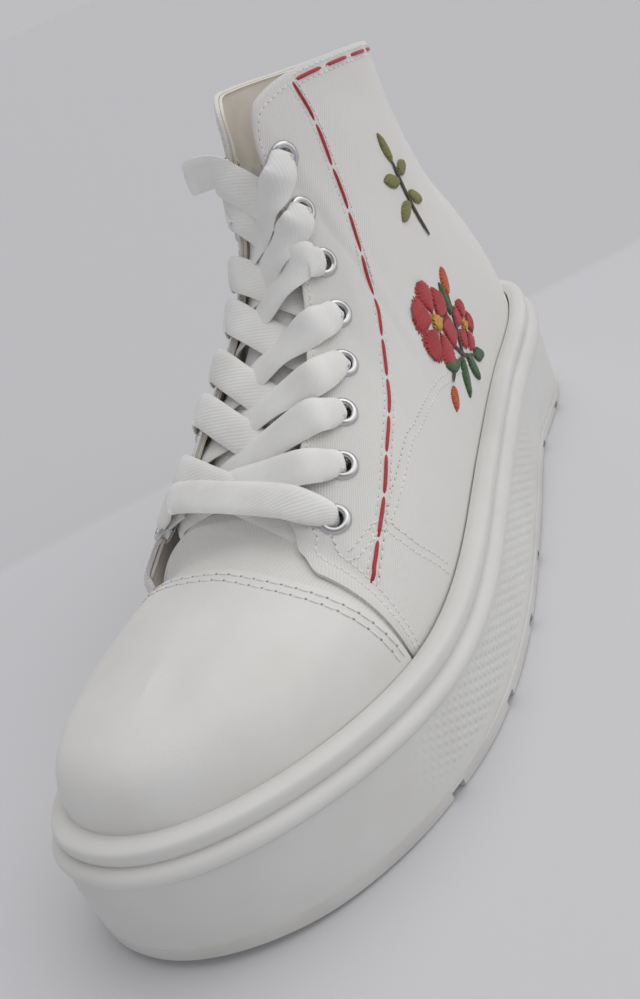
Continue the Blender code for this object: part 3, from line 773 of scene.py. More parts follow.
def drawn(side, part, rows):
    """How far a table draws the cloth of one side, at parts of the way round."""
    return smooth(part, round_of(rows["foot"]), rows[SIDE_NAMES[side]])


def flare(side, part, height):
    """How far the quarter's front corner stands off the vamp."""
    off = drawn(side, part, FLARE)
    if side == MEDIAL:
        return off * ease(height, 0.2, 0.5) * (1 - 0.5 * ease(height, 0.6, 1.0))
    return off * ease(height, 0.25, 0.95)


# Soft folds where the shaft bends, each from one place to another as part of the way round and height,
# with its width and its rise in millimetres
CREASES = table(
    "side part height to_part to_height width rise",
    (LATERAL, 0.47, 0.78, 0.57, 0.62, 6.0, 0.7),
    (LATERAL, 0.44, 0.66, 0.53, 0.54, 5.0, -0.6),
    (LATERAL, 0.62, 0.92, 0.74, 0.86, 7.0, -0.5),
    (LATERAL, 0.80, 0.60, 0.93, 0.52, 8.0, -0.6),
    (MEDIAL, 0.45, 0.74, 0.57, 0.58, 6.0, -0.8),
    (MEDIAL, 0.52, 0.80, 0.62, 0.70, 6.0, 0.7),
    (MEDIAL, 0.40, 0.42, 0.52, 0.34, 8.0, -0.5),
    (MEDIAL, 0.80, 0.56, 0.93, 0.50, 8.0, -0.6),
)
# About how many millimetres there are in the whole way round and in a whole rib
ROUND_MM = 330.0
HEIGHT_MM = 110.0


def crease(side, part, height):
    """How far the soft folds lift the cloth."""
    rise = np.zeros_like(part)
    for fold in zip(*CREASES.values()):
        if fold[0] != side:
            continue
        start = np.array([fold[1] * ROUND_MM, fold[2] * HEIGHT_MM])
        way = np.array([fold[3] * ROUND_MM, fold[4] * HEIGHT_MM]) - start
        length = np.linalg.norm(way)
        way = way / length
        across, up = part * ROUND_MM - start[0], height * HEIGHT_MM - start[1]
        along, beside = across * way[0] + up * way[1], across * way[1] - up * way[0]
        # It comes in over the first third of its length and goes out over the last
        fade = ease(along, -0.2 * length, 0.35 * length) * ease(-along, -1.2 * length, -0.65 * length)
        rise = rise + fold[6] * fade * np.exp(-((beside / fold[5]) ** 2))
    return rise


def quarter(side, part, height, offset):
    """Points off the quarter's own face, with its folds, its corners drawn and its front edge lifted."""
    part, height = np.broadcast_arrays(np.asarray(part, float), np.asarray(height, float))
    points = layer(side, part, height, QUARTER_STEP + np.asarray(offset) + crease(side, part, height))
    draws = (
        (drawn(side, part, FORWARD) * ease(height, 0.75, 1.0), (0.0, 1.0, 0.0)),
        (drawn(side, part, INWARD) * ease(height, 0.8, 1.0), (-0.93 * side, 0.0, 0.37)),
        (flare(side, part, height), (0.83 * side, 0.0, 0.55)),
    )
    for reach, way in draws:
        points = points + reach[..., None] * np.array(way)
    return points


EYELET_COUNT = 8
EYELET_FIRST = 5.4
EYELET_PITCH = 16.4
EYELET_FROM_EDGE = np.array([12.0, 12.0, 12.3, 13.2, 13.8, 14.2, 14.5, 14.5])
EYELET_PUNCH = 3.0


def eyelet_spots(side):
    """Part and height on the form for each eyelet of one side."""
    edge_parts = np.linspace(CORNER_ROUND, COLLAR_ROUND, 400)
    run = run_along(form(side, edge_parts, 1.0), 0)
    parts = np.interp(EYELET_FIRST + EYELET_PITCH * np.arange(EYELET_COUNT), run, edge_parts)
    back = np.linspace(1, 0.4, 100)
    spots = []
    for part, from_edge in zip(parts, EYELET_FROM_EDGE):
        reach = run_along(form(side, part, back), 0)
        spots.append((part, np.interp(from_edge, reach, back)))
    return np.array(spots)


EYELET_SPOTS = {side: eyelet_spots(side) for side in SIDE_NAMES}
EYELET_CENTRES = {side: quarter(side, *EYELET_SPOTS[side].T, 0.0) for side in SIDE_NAMES}


def punch(piece):
    """Opens the cloth at each eyelet, under its flange."""
    shape = bmesh.new()
    shape.from_mesh(piece.data)
    middles = world(np.concatenate(list(EYELET_CENTRES.values()))) / MM
    centres = np.array([face.calc_center_median() for face in shape.faces]) / MM
    nearest = np.min(np.linalg.norm(centres[:, None] - middles[None], axis=2), axis=1)
    cut = [face for face, off in zip(list(shape.faces), nearest) if off < EYELET_PUNCH]
    bmesh.ops.delete(shape, geom=cut, context="FACES")
    shape.to_mesh(piece.data)
    shape.free()


SHOE_CORE = (0.0, 110.0, 60.0)
# Rows and columns of the sheet, closer together by its edges
HEIGHTS = np.concatenate([np.linspace(0, 0.965, 96), np.linspace(0.972, 1, 7)])
BEHINDS = np.concatenate([np.linspace(0, 0.012, 5), np.linspace(0.018, 1, 170)])
# About how far a quarter reaches from its front edge to the heel
BEHIND_MM = 210.0
EDGE_WIDTH = 1.2


def both_sides(halves):
    """A lateral half and a medial half in one, joined at the end that they share."""
    return np.concatenate([halves[0], halves[1][..., -2::-1, :]], axis=-2)


def quarter_sheet(name, cloth, offset, edge_round, short):
    """Both quarters in one sheet of cloth, from the lateral front edge round the heel to the medial one."""
    behind, height = np.meshgrid(short + (1 - short) * BEHINDS, HEIGHTS * (1 - short))
    to_edge = np.minimum((1 - short - height) * HEIGHT_MM, (behind - short) * BEHIND_MM)
    drop = edge_round * (1 - np.clip(to_edge / EDGE_WIDTH, 0, 1)) ** 2
    halves = []
    for side in SIDE_NAMES:
        edge = front_edge(side, height)
        halves.append(quarter(side, edge + (1 - edge) * behind, height, offset - drop))
    sheet = grid_piece(name, both_sides(halves))
    face_out(sheet, SHOE_CORE)
    punch(sheet)
    thicken(sheet, cloth)
    shade(sheet, 50.0)
    return sheet


quarters = quarter_sheet("canvas_quarters", QUARTER_CLOTH, offset=0.0, edge_round=0.5, short=0.0)

# Cotton twill: fine slanting ribs, bleached white, matte; the ribs are drawn at 0.8 mm so that they show.
TWILL_PITCH = 0.8
DIAGONAL_PITCH = 0.44429
white_twill, shader = start_material("bleached_cotton_twill", roughness=0.9, sheen_weight=0.1)
cloud, shades = drift(white_twill, shader, 9.0, "#E7E6E2", "#E2E1DC")
place = add_node(white_twill, "ShaderNodeTexCoord")
turned = add_node(
    white_twill, "ShaderNodeMapping", {"Vector": place.outputs["UV"], "Scale": (-1.0, 1.0, 1.0)}
)
rib = add_node(
    white_twill,
    "ShaderNodeTexWave",
    {
        "Vector": turned.outputs["Vector"],
        "Scale": DIAGONAL_PITCH / TWILL_PITCH,
        "Distortion": 0.4,
        "Detail": 1.0,
    },
    bands_direction="DIAGONAL",
)
# The ribs also stand out in tone, as painted light and shade: the drift's clouds are shifted up to the
# lighter tone on a rib and down to the darker one beside it
rib_light_and_shade = add_node(
    white_twill, "ShaderNodeMapRange", {"Value": rib.outputs["Fac"], "To Min": -0.5, "To Max": 0.45}
)
ribbed = add_node(
    white_twill, "ShaderNodeMath", {0: cloud.outputs["Fac"], 1: rib_light_and_shade.outputs["Result"]}, operation="ADD"
)
link(white_twill, ribbed.outputs["Value"], shades, "Fac")
relief = add_node(
    white_twill, "ShaderNodeBump", {"Height": rib.outputs["Fac"], "Strength": 0.45, "Distance": 0.15 * MM}
)
link(white_twill, relief.outputs["Normal"], shader, "Normal")
dress(quarters, white_twill, "white_canvas", "upper")

# Lining
# The quarters are lined with cream cotton cloth, caught in the same stitching and a little short of the edge.
LINING_CLOTH = 0.9
lining_offset = -QUARTER_CLOTH - CEMENT
lining = quarter_sheet("cream_lining", LINING_CLOTH, offset=lining_offset, edge_round=0.4, short=0.006)
dress(lining, cream_cloth, "white_canvas")

# Vamp and tongue
# White canvas comes out from under the toe cap, runs under both quarters and goes on up the throat
# as the tongue.
VAMP_FALL = table(
    "foot depth reach",
    (217.0, 0.5, 90.0),
    (208.0, 0.7, 80.0),
    (204.0, 2.4, 60.0),
    (198.0, 4.6, 32.0),
    (188.0, 5.2, 22.0),
    (134.0, 5.2, 18.0),
)
VAMP_COLUMNS = 91
VAMP_CLOTH = 1.4
THROAT_PULL = 0.2
vamp_feet = np.concatenate([np.linspace(216.5, 205.0, 60), np.linspace(204.6, 136.0, 70)])
vamp_rounds = round_of(vamp_feet)
vamp_depth, vamp_reach = [
    smooth(-vamp_feet, -VAMP_FALL["foot"], VAMP_FALL[key]) for key in ("depth", "reach")
]
vamp_rows = []
for part, depth, reach in zip(vamp_rounds, vamp_depth, vamp_reach):
    ribs, ends = [], []
    for side in SIDE_NAMES:
        back = np.linspace(1, 0, 80)
        far = np.interp(reach, run_along(form(side, part, back), 0), back)
        rib = layer(side, part, np.linspace(far, 1, 60), -depth)
        ribs.append(rib)
        ends.append((rib[-1], unit(rib[-1] - rib[-4])))
    (start, start_way), (end, end_way) = ends
    pull = np.linalg.norm(start - end) * THROAT_PULL
    controls = [start, start + start_way * pull, end + end_way * pull, end]
    line = np.concatenate([ribs[0][:-1], bezier(controls, np.linspace(0, 1, 40)), ribs[1][-2::-1]])
    run = run_along(line, 0)
    even = np.linspace(0, run[-1], VAMP_COLUMNS)
    vamp_rows.append(np.column_stack([np.interp(even, run, line[:, k]) for k in range(3)]))
tongue = grid_piece("tongue_canvas", vamp_rows)
# Its ribs run more along the shoe than the quarters' do
GRAIN_TURN = math.radians(-52.0)
for corner in tongue.data.uv_layers.active.data:
    u, v = corner.uv
    corner.uv = (
        u * math.cos(GRAIN_TURN) - v * math.sin(GRAIN_TURN),
        u * math.sin(GRAIN_TURN) + v * math.cos(GRAIN_TURN),
    )
face_out(tongue, SHOE_CORE)
thicken(tongue, VAMP_CLOTH)
shade(tongue)
dress(tongue, white_twill, "white_canvas", "tongue")

# Toe cap
# A smooth white leather cap covers the toe box, skived at its rear edge and sewn down with two rows.
CAP_THICKNESS = 1.2
CAP_ROWS = 70
CAP_COLUMNS = 44
CAP_CORE = (0.0, 220.0, 20.0)
CAP_UNDER_LIP = 1.5
# Millimetres in the whole way from toe to heel, as it is spread by the cap's edge
CAP_MM = 420.0
SKIVE_DEPTH = 0.3
SKIVE_WIDTH = 1.6
CREST_FIRST_ROW = 26
CREST_ROWS = 20
CREST_PASSES = 12
EASING = 0.25
cap_rounds = CAP_ROUND * np.concatenate([np.linspace(0, 0.985, CAP_ROWS - 5), np.linspace(0.988, 1, 5)])


def height_of(part, level):
    """How far up its rib the lateral form passes a level."""
    heights = np.linspace(0, 0.6, 80)
    return np.interp(level, form(LATERAL, part, heights)[:, 2], heights)


cap_foot = [
    height_of(part, side_line("lip", plan(LATERAL, part, UPPER_INSET)[0][1]) - CAP_UNDER_LIP)
    for part in cap_rounds
]
cap_share = np.linspace(0, 1, CAP_COLUMNS)
cap_height = np.array(cap_foot)[:, None] * (1 - cap_share) + cap_share
to_edge = (CAP_ROUND - cap_rounds)[:, None] * CAP_MM
cap_offset = GAP + CAP_THICKNESS - SKIVE_DEPTH * (1 - np.clip(to_edge / SKIVE_WIDTH, 0, 1)) ** 2
halves = [layer(side, cap_rounds[:, None], cap_height, cap_offset) for side in SIDE_NAMES]
ridge = (halves[0][:, -1] + halves[1][:, -1]) / 2
front = (halves[0][0] + halves[1][0]) / 2
for half in halves:
    half[:, -1] = ridge
    half[0] = front
cap_grid = both_sides(halves)
# The crest is eased into a round, more so away from the toe's tip
crest_share = np.clip((np.arange(CAP_ROWS) - CREST_FIRST_ROW) / CREST_ROWS, 0, 1)[:, None, None]


def ease_rows(points, share, passes):
    """Draws the points of each row towards the middle of their neighbours."""
    for _ in range(passes):
        points[..., 1:-1, :] += share * (points[..., :-2, :] - 2 * points[..., 1:-1, :] + points[..., 2:, :])


ease_rows(cap_grid, crest_share * EASING, CREST_PASSES)
toe_cap = grid_piece("leather_toe_cap", cap_grid)
weld(toe_cap)
face_out(toe_cap, CAP_CORE)
thicken(toe_cap, CAP_THICKNESS)
shade(toe_cap, 50.0)

# Smooth coated leather: an even white with a satin gloss and a very fine grain.
LEATHER_GRAIN = 0.7
white_leather, shader = start_material("coated_white_leather", roughness=0.45, coat_weight=0.06)
drift(white_leather, shader, 26.0, "#EAE9E6", "#E1E0DB")
place = add_node(white_leather, "ShaderNodeTexCoord")
grain = add_node(
    white_leather,
    "ShaderNodeTexVoronoi",
    {"Vector": place.outputs["Object"], "Scale": 1 / (LEATHER_GRAIN * MM)},
)
relief = add_node(
    white_leather,
    "ShaderNodeBump",
    {"Height": grain.outputs["Distance"], "Strength": 0.25, "Distance": 0.08 * MM},
)
link(white_leather, relief.outputs["Normal"], shader, "Normal")
dress(toe_cap, white_leather, "white_leather", "toe_cap")

# Seams
# White bonded thread: two rows across the toe cap, two along each quarter's front edge, one round the
# throat and collar, and double rows that curve over the heel stiffener inside.
STITCH_PITCH = 2.2
STITCH_LENGTH = 1.65
THREAD = 0.6
NEEDLE = 0.5
NEEDLE_DEPTH = 0.1
STRAND_FLATNESS = 0.7


def tubes(name, strands, thickness, sides=6):
    """Fine strands in one mesh, each along its own row of points and a little flattened on the cloth."""
    lines, outs = [np.concatenate(column) for column in zip(*strands)]
    count, steps = lines.shape[:2]
    heading = np.gradient(lines, axis=1)
    across = unit(np.cross(heading, outs))
    taper = np.sqrt(np.clip(1 - np.linspace(-0.97, 0.97, steps) ** 6, 0, 1))[None, :, None, None]
    angles = np.linspace(0, 2 * np.pi, sides, endpoint=False)
    ring_way = np.cos(angles)[:, None] * across[:, :, None]
    ring_way = ring_way + STRAND_FLATNESS * np.sin(angles)[:, None] * outs[:, :, None]
    points = lines[:, :, None] + ring_way * taper * thickness / 2
    faces = []
    for i in range(steps - 1):
        for j in range(sides):
            k = (j + 1) % sides
            faces.append((i * sides + j, i * sides + k, (i + 1) * sides + k, (i + 1) * sides + j))
    ends = [tuple(range(sides)), tuple(range((steps - 1) * sides, steps * sides))]
    every = [
        tuple(first + corner for corner in face)
        for first in range(0, count * steps * sides, steps * sides)
        for face in faces + ends
    ]
    mesh = bpy.data.meshes.new(name)
    mesh.from_pydata(world(points).reshape(-1, 3).tolist(), [], every)
    piece = bpy.data.objects.new(name, mesh)
    bpy.context.scene.collection.objects.link(piece)
    recalculate(piece)
    shade(piece, 60.0)
    return piece


def stitches(line, outs, pitch, length, steps=5, sink=0.14, first=0.0, lift=0.03):
    """Places of the stitches along a seam: their points and outward directions."""
    run = run_along(line, 0)
    starts = np.arange(first, run[-1] - length, pitch)
    share = np.linspace(0, 1, steps)
    at = starts[:, None] + share[None] * length
    points = np.stack([np.interp(at, run, line[:, k]) for k in range(3)], -1)
    ways = unit(np.stack([np.interp(at, run, outs[:, k]) for k in range(3)], -1))
    rise = lift - sink * (2 * share - 1) ** 4
    return points + ways * rise[None, :, None], ways


def on_quarter(side, part, height, offset=0.0):
    """A seam's points on the quarter and the cloth's outward directions there."""
    part, height = np.broadcast_arrays(np.asarray(part, float), np.asarray(height, float))
    return quarter(side, part, height, offset), outward(side, part, height)


def sew(name, seams, look, pitch=STITCH_PITCH, length=STITCH_LENGTH, hole=NEEDLE):
    """Sews rows of stitches as one piece, with small grey dots of painted shade for the needle's holes
    between them as another.
    """
    piece = tubes(name, [stitches(*seam, pitch, length) for seam in seams], THREAD)
    dress(piece, look, "white_canvas")
    # Each needle hole is a small grey tube sunk into the cloth: painted shade inside the hole
    between = {"steps": 3, "sink": 0.0, "first": (pitch + length - hole) / 2}
    made = [stitches(*seam, pitch, hole, **between) for seam in seams]
    piece = tubes(f"{name}_holes", [(points - ways * NEEDLE_DEPTH, ways) for points, ways in made], hole)
    dress(piece, needle_shade, "white_canvas")


# Bonded thread: smooth, hard twisted, a shade lighter than the cloth that it sinks into.
THREAD_PLY = 0.5
white_thread, shader = start_material("white_bonded_thread", roughness=0.6)
drift(white_thread, shader, 6.0, "#EEEDE9", "#E4E3DF")
place = add_node(white_thread, "ShaderNodeTexCoord")
ply = add_node(
    white_thread, "ShaderNodeTexNoise", {"Vector": place.outputs["Object"], "Scale": 1 / (THREAD_PLY * MM)}
)
relief = add_node(
    white_thread, "ShaderNodeBump", {"Height": ply.outputs["Fac"], "Strength": 0.4, "Distance": 0.1 * MM}
)
link(white_thread, relief.outputs["Normal"], shader, "Normal")

# The shade inside a needle hole: a dull grey, a little uneven.
needle_shade, shader = start_material("needle_hole_shade", roughness=1.0)
drift(needle_shade, shader, 3.0, "#AFADA8", "#9C9A95")

SEAM_PASSES = 40
cap_seams = []
for set_back in (2.2, 5.0):
    part = CAP_ROUND - set_back / CAP_MM
    heights = np.linspace(0.14, 1, 120)
    sides = [layer(side, part, heights, GAP + CAP_THICKNESS) for side in SIDE_NAMES]
    ways = [outward(side, part + 0 * heights, heights) for side in SIDE_NAMES]
    line = both_sides(sides)
    ease_rows(line, EASING, SEAM_PASSES)
    cap_seams.append((line, both_sides(ways)))
sew("cap_stitches", cap_seams, white_thread, pitch=4.3, length=3.5, hole=0.75)

# Millimetres in the whole way round, by the quarter's front edge
QUARTER_MM = 400.0
EDGE_SEAM_TOP = {LATERAL: 0.93, MEDIAL: 0.55}
COLLAR_SET_BACK = 2.6
edge_seams = []
for side in SIDE_NAMES:
    heights = np.linspace(0.12, EDGE_SEAM_TOP[side], 160)
    for set_back in (1.9, 4.0):
        edge_seams.append(on_quarter(side, front_edge(side, heights) + set_back / QUARTER_MM, heights))
    throat = np.linspace(CORNER_ROUND + 0.012, 1, 500)
    edge_seams.append(on_quarter(side, throat, 1 - COLLAR_SET_BACK / HEIGHT_MM))
sew("edge_stitches", edge_seams, white_thread)

COUNTER = table(
    "round height",
    (0.335, 0.60),
    (0.362, 0.520),
    (0.387, 0.495),
    (0.435, 0.465),
    (0.464, 0.415),
    (0.500, 0.362),
    (0.535, 0.310),
    (0.575, 0.262),
    (0.640, 0.215),
    (0.720, 0.185),
)
BRANCH = table("round height", (0.316, 0.640), (0.345, 0.575), (0.353, 0.471), (0.367, 0.315), (0.398, 0.119))
DOUBLE_ROW = 2.6
EDGE_MARGIN = 0.009
counter_seams = []
for rows in (COUNTER, BRANCH):
    part, height = trace_table(rows, 200).T
    for side in SIDE_NAMES:
        # A row stops before it would run out over the front edge
        on_cloth = part > front_edge(side, height) + EDGE_MARGIN
        line, outs = on_quarter(side, part[on_cloth], height[on_cloth])
        beside = unit(np.cross(np.gradient(line, axis=0), outs)) * side
        counter_seams += [(line, outs), (line + beside * DOUBLE_ROW, outs)]
sew("counter_stitches", counter_seams, white_thread)

# Running stitch
# A thick red cotton floss runs down behind the lateral eyelets and round the collar in long stitches,
# with the ends of the white seam under it showing between and beside them.
RED_LINE = table(
    "round height",
    (0.600, 0.978),
    (0.600, 0.895),
    (0.591, 0.791),
    (0.582, 0.690),
    (0.564, 0.604),
    (0.5385, 0.570),
    (0.492, 0.594),
    (0.458, 0.604),
    (0.441, 0.606),
    (0.403, 0.608),
    (0.374, 0.591),
    (0.3504, 0.586),
    (0.3378, 0.5728),
    (0.3297, 0.557),
    (0.3209, 0.533),
    (0.3149, 0.480),
)
FLOSS = 1.05
RED_PITCH = 13.4
RED_LENGTH = 12.2
RED_ASIDE = 1.5
COLLAR_START = 0.603
COLLAR_HEIGHT = 0.978
red_seams = (
    on_quarter(LATERAL, *trace_table(RED_LINE, 400).T),
    on_quarter(LATERAL, np.linspace(COLLAR_START, 1, 300), COLLAR_HEIGHT),
)
made = []
for line, outs in red_seams:
    # The pitch is fitted, so that the last stitch ends where the line does
    room = run_along(line, 0)[-1] - RED_LENGTH
    pitch = room / round(room / RED_PITCH) - 1e-6
    made.append(stitches(line, outs, pitch, RED_LENGTH, steps=21, sink=0.35, lift=0.22))
running = tubes("red_running_stitch", made, FLOSS, sides=8)

# Stranded cotton floss: soft twisted fibres with a slight silk gloss.
FLOSS_TWIST = 0.9


def floss(name, code, dark):
    """Stranded floss in one colour, its twist showing as fine lines, darker where they sink: painted shade in
    the twist's hollows.
    """
    look, shader = start_material(name, roughness=0.55, sheen_weight=0.2)
    fibre, _ = drift(look, shader, FLOSS_TWIST, code, dark)
    # The clouds that set the tone also raise the relief, so its low places are darker: painted shade
    relief = add_node(
        look, "ShaderNodeBump", {"Height": fibre.outputs["Fac"], "Strength": 0.4, "Distance": 0.15 * MM}
    )
    link(look, relief.outputs["Normal"], shader, "Normal")
    return look


red_floss = floss("red_cotton_floss", "#C32A30", "#97191F")
dress(running, red_floss, "white_canvas")
beside_seams = []
for line, outs in red_seams:
    beside = unit(np.cross(np.gradient(line, axis=0), outs)) * RED_ASIDE
    beside_seams += [(line + beside, outs), (line - beside, outs)]
sew("running_seam_stitches", beside_seams, white_thread, pitch=2.6, length=1.9)

# Embroidery
# Hand embroidery in satin stitch on the lateral side: a spray of red blossoms with leaves by the heel,
# and a small olive sprig above it. The floss is raised over the cloth and split into visible strands.
SATIN_PITCH = 0.62
SATIN_FLOSS = 0.8
SATIN_RISE = 0.1
STEM_PITCH = 0.7
STEM_RISE = 0.45
HOOP_STEP = np.array([0.004, 0.01])


class Hoop:
    """A flat drawing frame on the lateral quarter: x towards the heel and y up, in millimetres."""

    def __init__(self, part, height):
        """Takes the cloth's scale and skew at the frame's middle."""
        self.centre = np.array([part, height])
        sides = []
        for step in np.diag(HOOP_STEP):
            ahead, behind = [quarter(LATERAL, *(self.centre + way * step), 0.0) for way in (1, -1)]
            sides.append(ahead - behind)
        length = np.linalg.norm(sides, axis=1)
        self.across = length / (2 * HOOP_STEP)
        self.skew = np.dot(*sides) / length.prod()

    def lay(self, flat, rise):
        """Points on the cloth, with the cloth's outward directions."""
        flat = np.asarray(flat, float)
        lean = math.sqrt(1 - self.skew**2)
        height = self.centre[1] + flat[..., 1] / lean / self.across[1]
        part = self.centre[0] + (flat[..., 0] - flat[..., 1] * self.skew / lean) / self.across[0]
        return quarter(LATERAL, part, height, rise), outward(LATERAL, part, height)


def satin(hoop, base, tip, width, belly=0.45, steps=7, lift=0.75):
    """Strands across a leaf or petal, from side to side, square to its middle line."""
    base, tip = np.array(base, float), np.array(tip, float)
    length = np.linalg.norm(tip - base)
    along = (tip - base) / length
    aside = np.array([-along[1], along[0]])
    places = np.arange(SATIN_PITCH / 2, length, SATIN_PITCH)
    share = places / length
    half = width / 2 * np.sin(np.pi * share ** (math.log(0.5) / math.log(belly))) ** 0.7
    swing = np.linspace(-1, 1, steps)
    ripple = 1 + 0.06 * np.sin(places * 5.1)
    flat = base + along * places[:, None, None]
    flat = flat + aside * (half * ripple)[:, None, None] * swing[None, :, None]
    flat = flat + along * (0.12 * half[:, None] * swing[None] ** 2)[..., None]
    crown = np.minimum(1, half / 1.5)[:, None] * lift * (1 - swing[None] ** 4)
    return hoop.lay(flat, SATIN_RISE + crown)


def stem(hoop, points, steps=9, strands=2):
    """Strands laid side by side along a stem."""
    line = trace(points, steps)
    heading = np.gradient(line, axis=0)
    aside = unit(np.stack([-heading[:, 1], heading[:, 0]], -1)) * STEM_PITCH
    rows = np.stack([line + aside * (k - (strands - 1) / 2) for k in range(strands)])
    return hoop.lay(rows, np.full(rows.shape[:2], STEM_RISE))


def embroider(name, shapes, look):
    """Shapes of one colour as one piece, or as one for each number of points in a strand."""
    for steps in sorted({shape[0].shape[1] for shape in shapes}):
        same = [shape for shape in shapes if shape[0].shape[1] == steps]
        dress(tubes(f"{name}_{steps}", same, SATIN_FLOSS), look, "white_canvas")


def petals(hoop, centre, count, reach, inner, width, turn=0.0):
    """A ring of petals round a blossom's eye."""
    shapes = []
    for k in range(count):
        angle = turn + 2 * np.pi * k / count
        way = np.array([math.cos(angle), math.sin(angle)])
        base, tip = [np.array(centre) + way * radius for radius in (inner, reach)]
        shapes.append(satin(hoop, base, tip, width, belly=0.6))
    return shapes


spray = Hoop(0.640, 0.300)
embroider(
    "red_petals",
    petals(spray, (-6.0, 8.0), 6, 14.0, 3.2, 11.5, turn=0.3)
    + petals(spray, (15.0, -4.0), 5, 9.0, 2.2, 8.0, turn=0.9),
    red_floss,
)
embroider(
    "yellow_eyes",
    [
        satin(spray, (-9.2, 8.0), (-2.8, 8.0), 6.4, belly=0.5, lift=1.1),
        satin(spray, (12.8, -4.0), (17.2, -4.0), 4.4, belly=0.5, lift=1.0),
    ],
    floss("yellow_cotton_floss", "#E2B136", "#B98417"),
)
embroider(
    "orange_buds",
    [satin(spray, (13.0, 9.0), (19.0, 17.0), 6.0), satin(spray, (-16.0, -9.0), (-22.0, -14.0), 4.6)],
    floss("orange_cotton_floss", "#D9622B", "#A9431A"),
)
embroider(
    "green_leaves",
    [
        satin(spray, (-4.0, -8.0), (-14.0, -3.0), 5.0),
        satin(spray, (1.0, -8.0), (-7.0, -19.0), 5.6),
        satin(spray, (6.0, -10.0), (9.0, -22.0), 5.6),
        satin(spray, (12.0, -14.0), (22.0, -20.0), 5.0),
        satin(spray, (8.0, 4.0), (11.0, 15.0), 4.4),
    ],
    floss("green_cotton_floss", "#3E6A34", "#274A22"),
)
embroider(
    "brown_stems",
    [
        stem(spray, [(-3.0, 1.0), (1.0, -6.0), (5.0, -10.0), (12.0, -14.0)]),
        stem(spray, [(13.0, 9.0), (9.0, 2.0), (4.0, -6.0), (2.0, -9.0)]),
        stem(spray, [(-15.0, -8.0), (-9.0, -7.0), (-3.0, -7.5), (2.0, -9.0)]),
    ],
    floss("brown_cotton_floss", "#4B3628", "#2C1E16"),
)
sprig = Hoop(0.690, 0.645)
embroider(
    "olive_leaves",
    [
        satin(sprig, (-1.0, -4.0), (-11.0, -7.0), 4.6),
        satin(sprig, (1.0, -2.0), (10.0, -7.0), 4.6),
        satin(sprig, (-1.5, 3.0), (-11.0, 6.0), 4.6),
        satin(sprig, (0.5, 5.0), (9.0, 7.0), 4.4),
        satin(sprig, (-0.5, 9.0), (-2.0, 19.0), 4.4),
    ],
    floss("olive_cotton_floss", "#8C8A45", "#66652D"),
)
embroider(
    "sprig_stem",
    [stem(sprig, [(3.0, -17.0), (0.5, -8.0), (-0.5, 1.0), (-0.5, 9.5)])],
    floss("umber_cotton_floss", "#46402A", "#2B2718"),
)

# Eyelets
# Eight pairs of plated metal eyelets line the throat, each a rolled flange set through cloth and lining.
EYELET_SIDES = 36
EYELET_PROFILE = table(
    "radius rise",
    (2.35, -2.4),
    (2.30, 0.2),
    (2.50, 0.75),
    (3.00, 1.05),
    (3.60, 1.0),
    (4.15, 0.65),
    (4.45, 0.1),
    (4.30, -0.15),
    (2.85, -0.2),
    (2.85, -2.4),
    (3.90, -2.5),
    (3.90, -2.8),
    (2.60, -2.9),
)
EYELET_ROWS = 40
# Places round an eyelet where the cloth's slope is felt, as part of the way round and height
EYELET_FEELERS = table("part height", (0.002, 0.0), (-0.002, 0.0), (0.0, 0.01), (0.0, -0.01))
profile = trace_table(EYELET_PROFILE, EYELET_ROWS)
# Nickel-plated brass: a bright grey metal, hazed in patches where its polish has gone.
METAL_HAZE = 1.5
silver, shader = start_material(
    "nickel_plated_brass", base_color=colour("#C9C9C9"), metallic=1.0, roughness=0.22
)
place = add_node(silver, "ShaderNodeTexCoord")
haze = add_node(
    silver, "ShaderNodeTexNoise", {"Vector": place.outputs["Object"], "Scale": 1 / (METAL_HAZE * MM)}
)
dull = add_node(silver, "ShaderNodeMapRange", {"Value": haze.outputs["Fac"], "To Min": 0.16, "To Max": 0.3})
link(silver, dull.outputs["Result"], shader, "Roughness")
angles = np.linspace(0, 2 * np.pi, EYELET_SIDES, endpoint=False)
for side, side_name in SIDE_NAMES.items():
    for number, (part, height) in enumerate(EYELET_SPOTS[side]):
        centre = EYELET_CENTRES[side][number]
        near = quarter(side, part + EYELET_FEELERS["part"], height + EYELET_FEELERS["height"], 0.0)
        axis = unit(np.cross(near[0] - near[1], near[2] - near[3]) * -side)
        first = unit(np.cross(axis, (0.0, 1.0, 0.0)))
        circle = np.cos(angles)[:, None] * first + np.sin(angles)[:, None] * np.cross(axis, first)
        rows = [centre + axis * rise + radius * circle for radius, rise in profile]
        eyelet = grid_piece(f"eyelet_ring_{side_name}_{number + 1}", rows + rows[:1], closed=True)
        weld(eyelet)
        recalculate(eyelet)
        shade(eyelet, 60.0)
        dress(eyelet, silver, "silver_metal", f"eyelet_{side_name}_{number + 1}")

# Lace
# One flat white cotton lace, about 10 mm wide: a bar between the lowest eyelets, then crossings that come
# from under one quarter's edge and go down through the next eyelet on the other side.
LACE_WIDTH = 10.2
LACE_THICKNESS = 1.3
LACE_STEPS = 10
LACE_ACROSS = np.linspace(-1, 1, 11)
LEVELS = np.arange(1, EYELET_COUNT + 1)
THROAT_UP = np.array([0.0, 0.45, 0.89])


def spot(side, level, reach, offset):
    """A point of the quarter at an eyelet level: reach is 0 at the throat edge and 1 at the eyelet."""
    parts, heights = EYELET_SPOTS[side].T
    part = np.interp(level, LEVELS, parts) + (parts[1] - parts[0]) * min(level - 1, 0)
    height = np.interp(level, LEVELS, heights)
    return quarter(side, part, 1 - (1 - height) * reach, offset)


def edge_out(side, level):
    """The form's outward direction by the throat edge."""
    part = np.interp(level, LEVELS, EYELET_SPOTS[side][:, 0])
    return outward(side, part, np.array(0.94))


def over_throat(start, end, share, rise):
    """A point between two edge points, lifted off the line between them."""
    return start * (1 - share) + end * share + THROAT_UP * rise


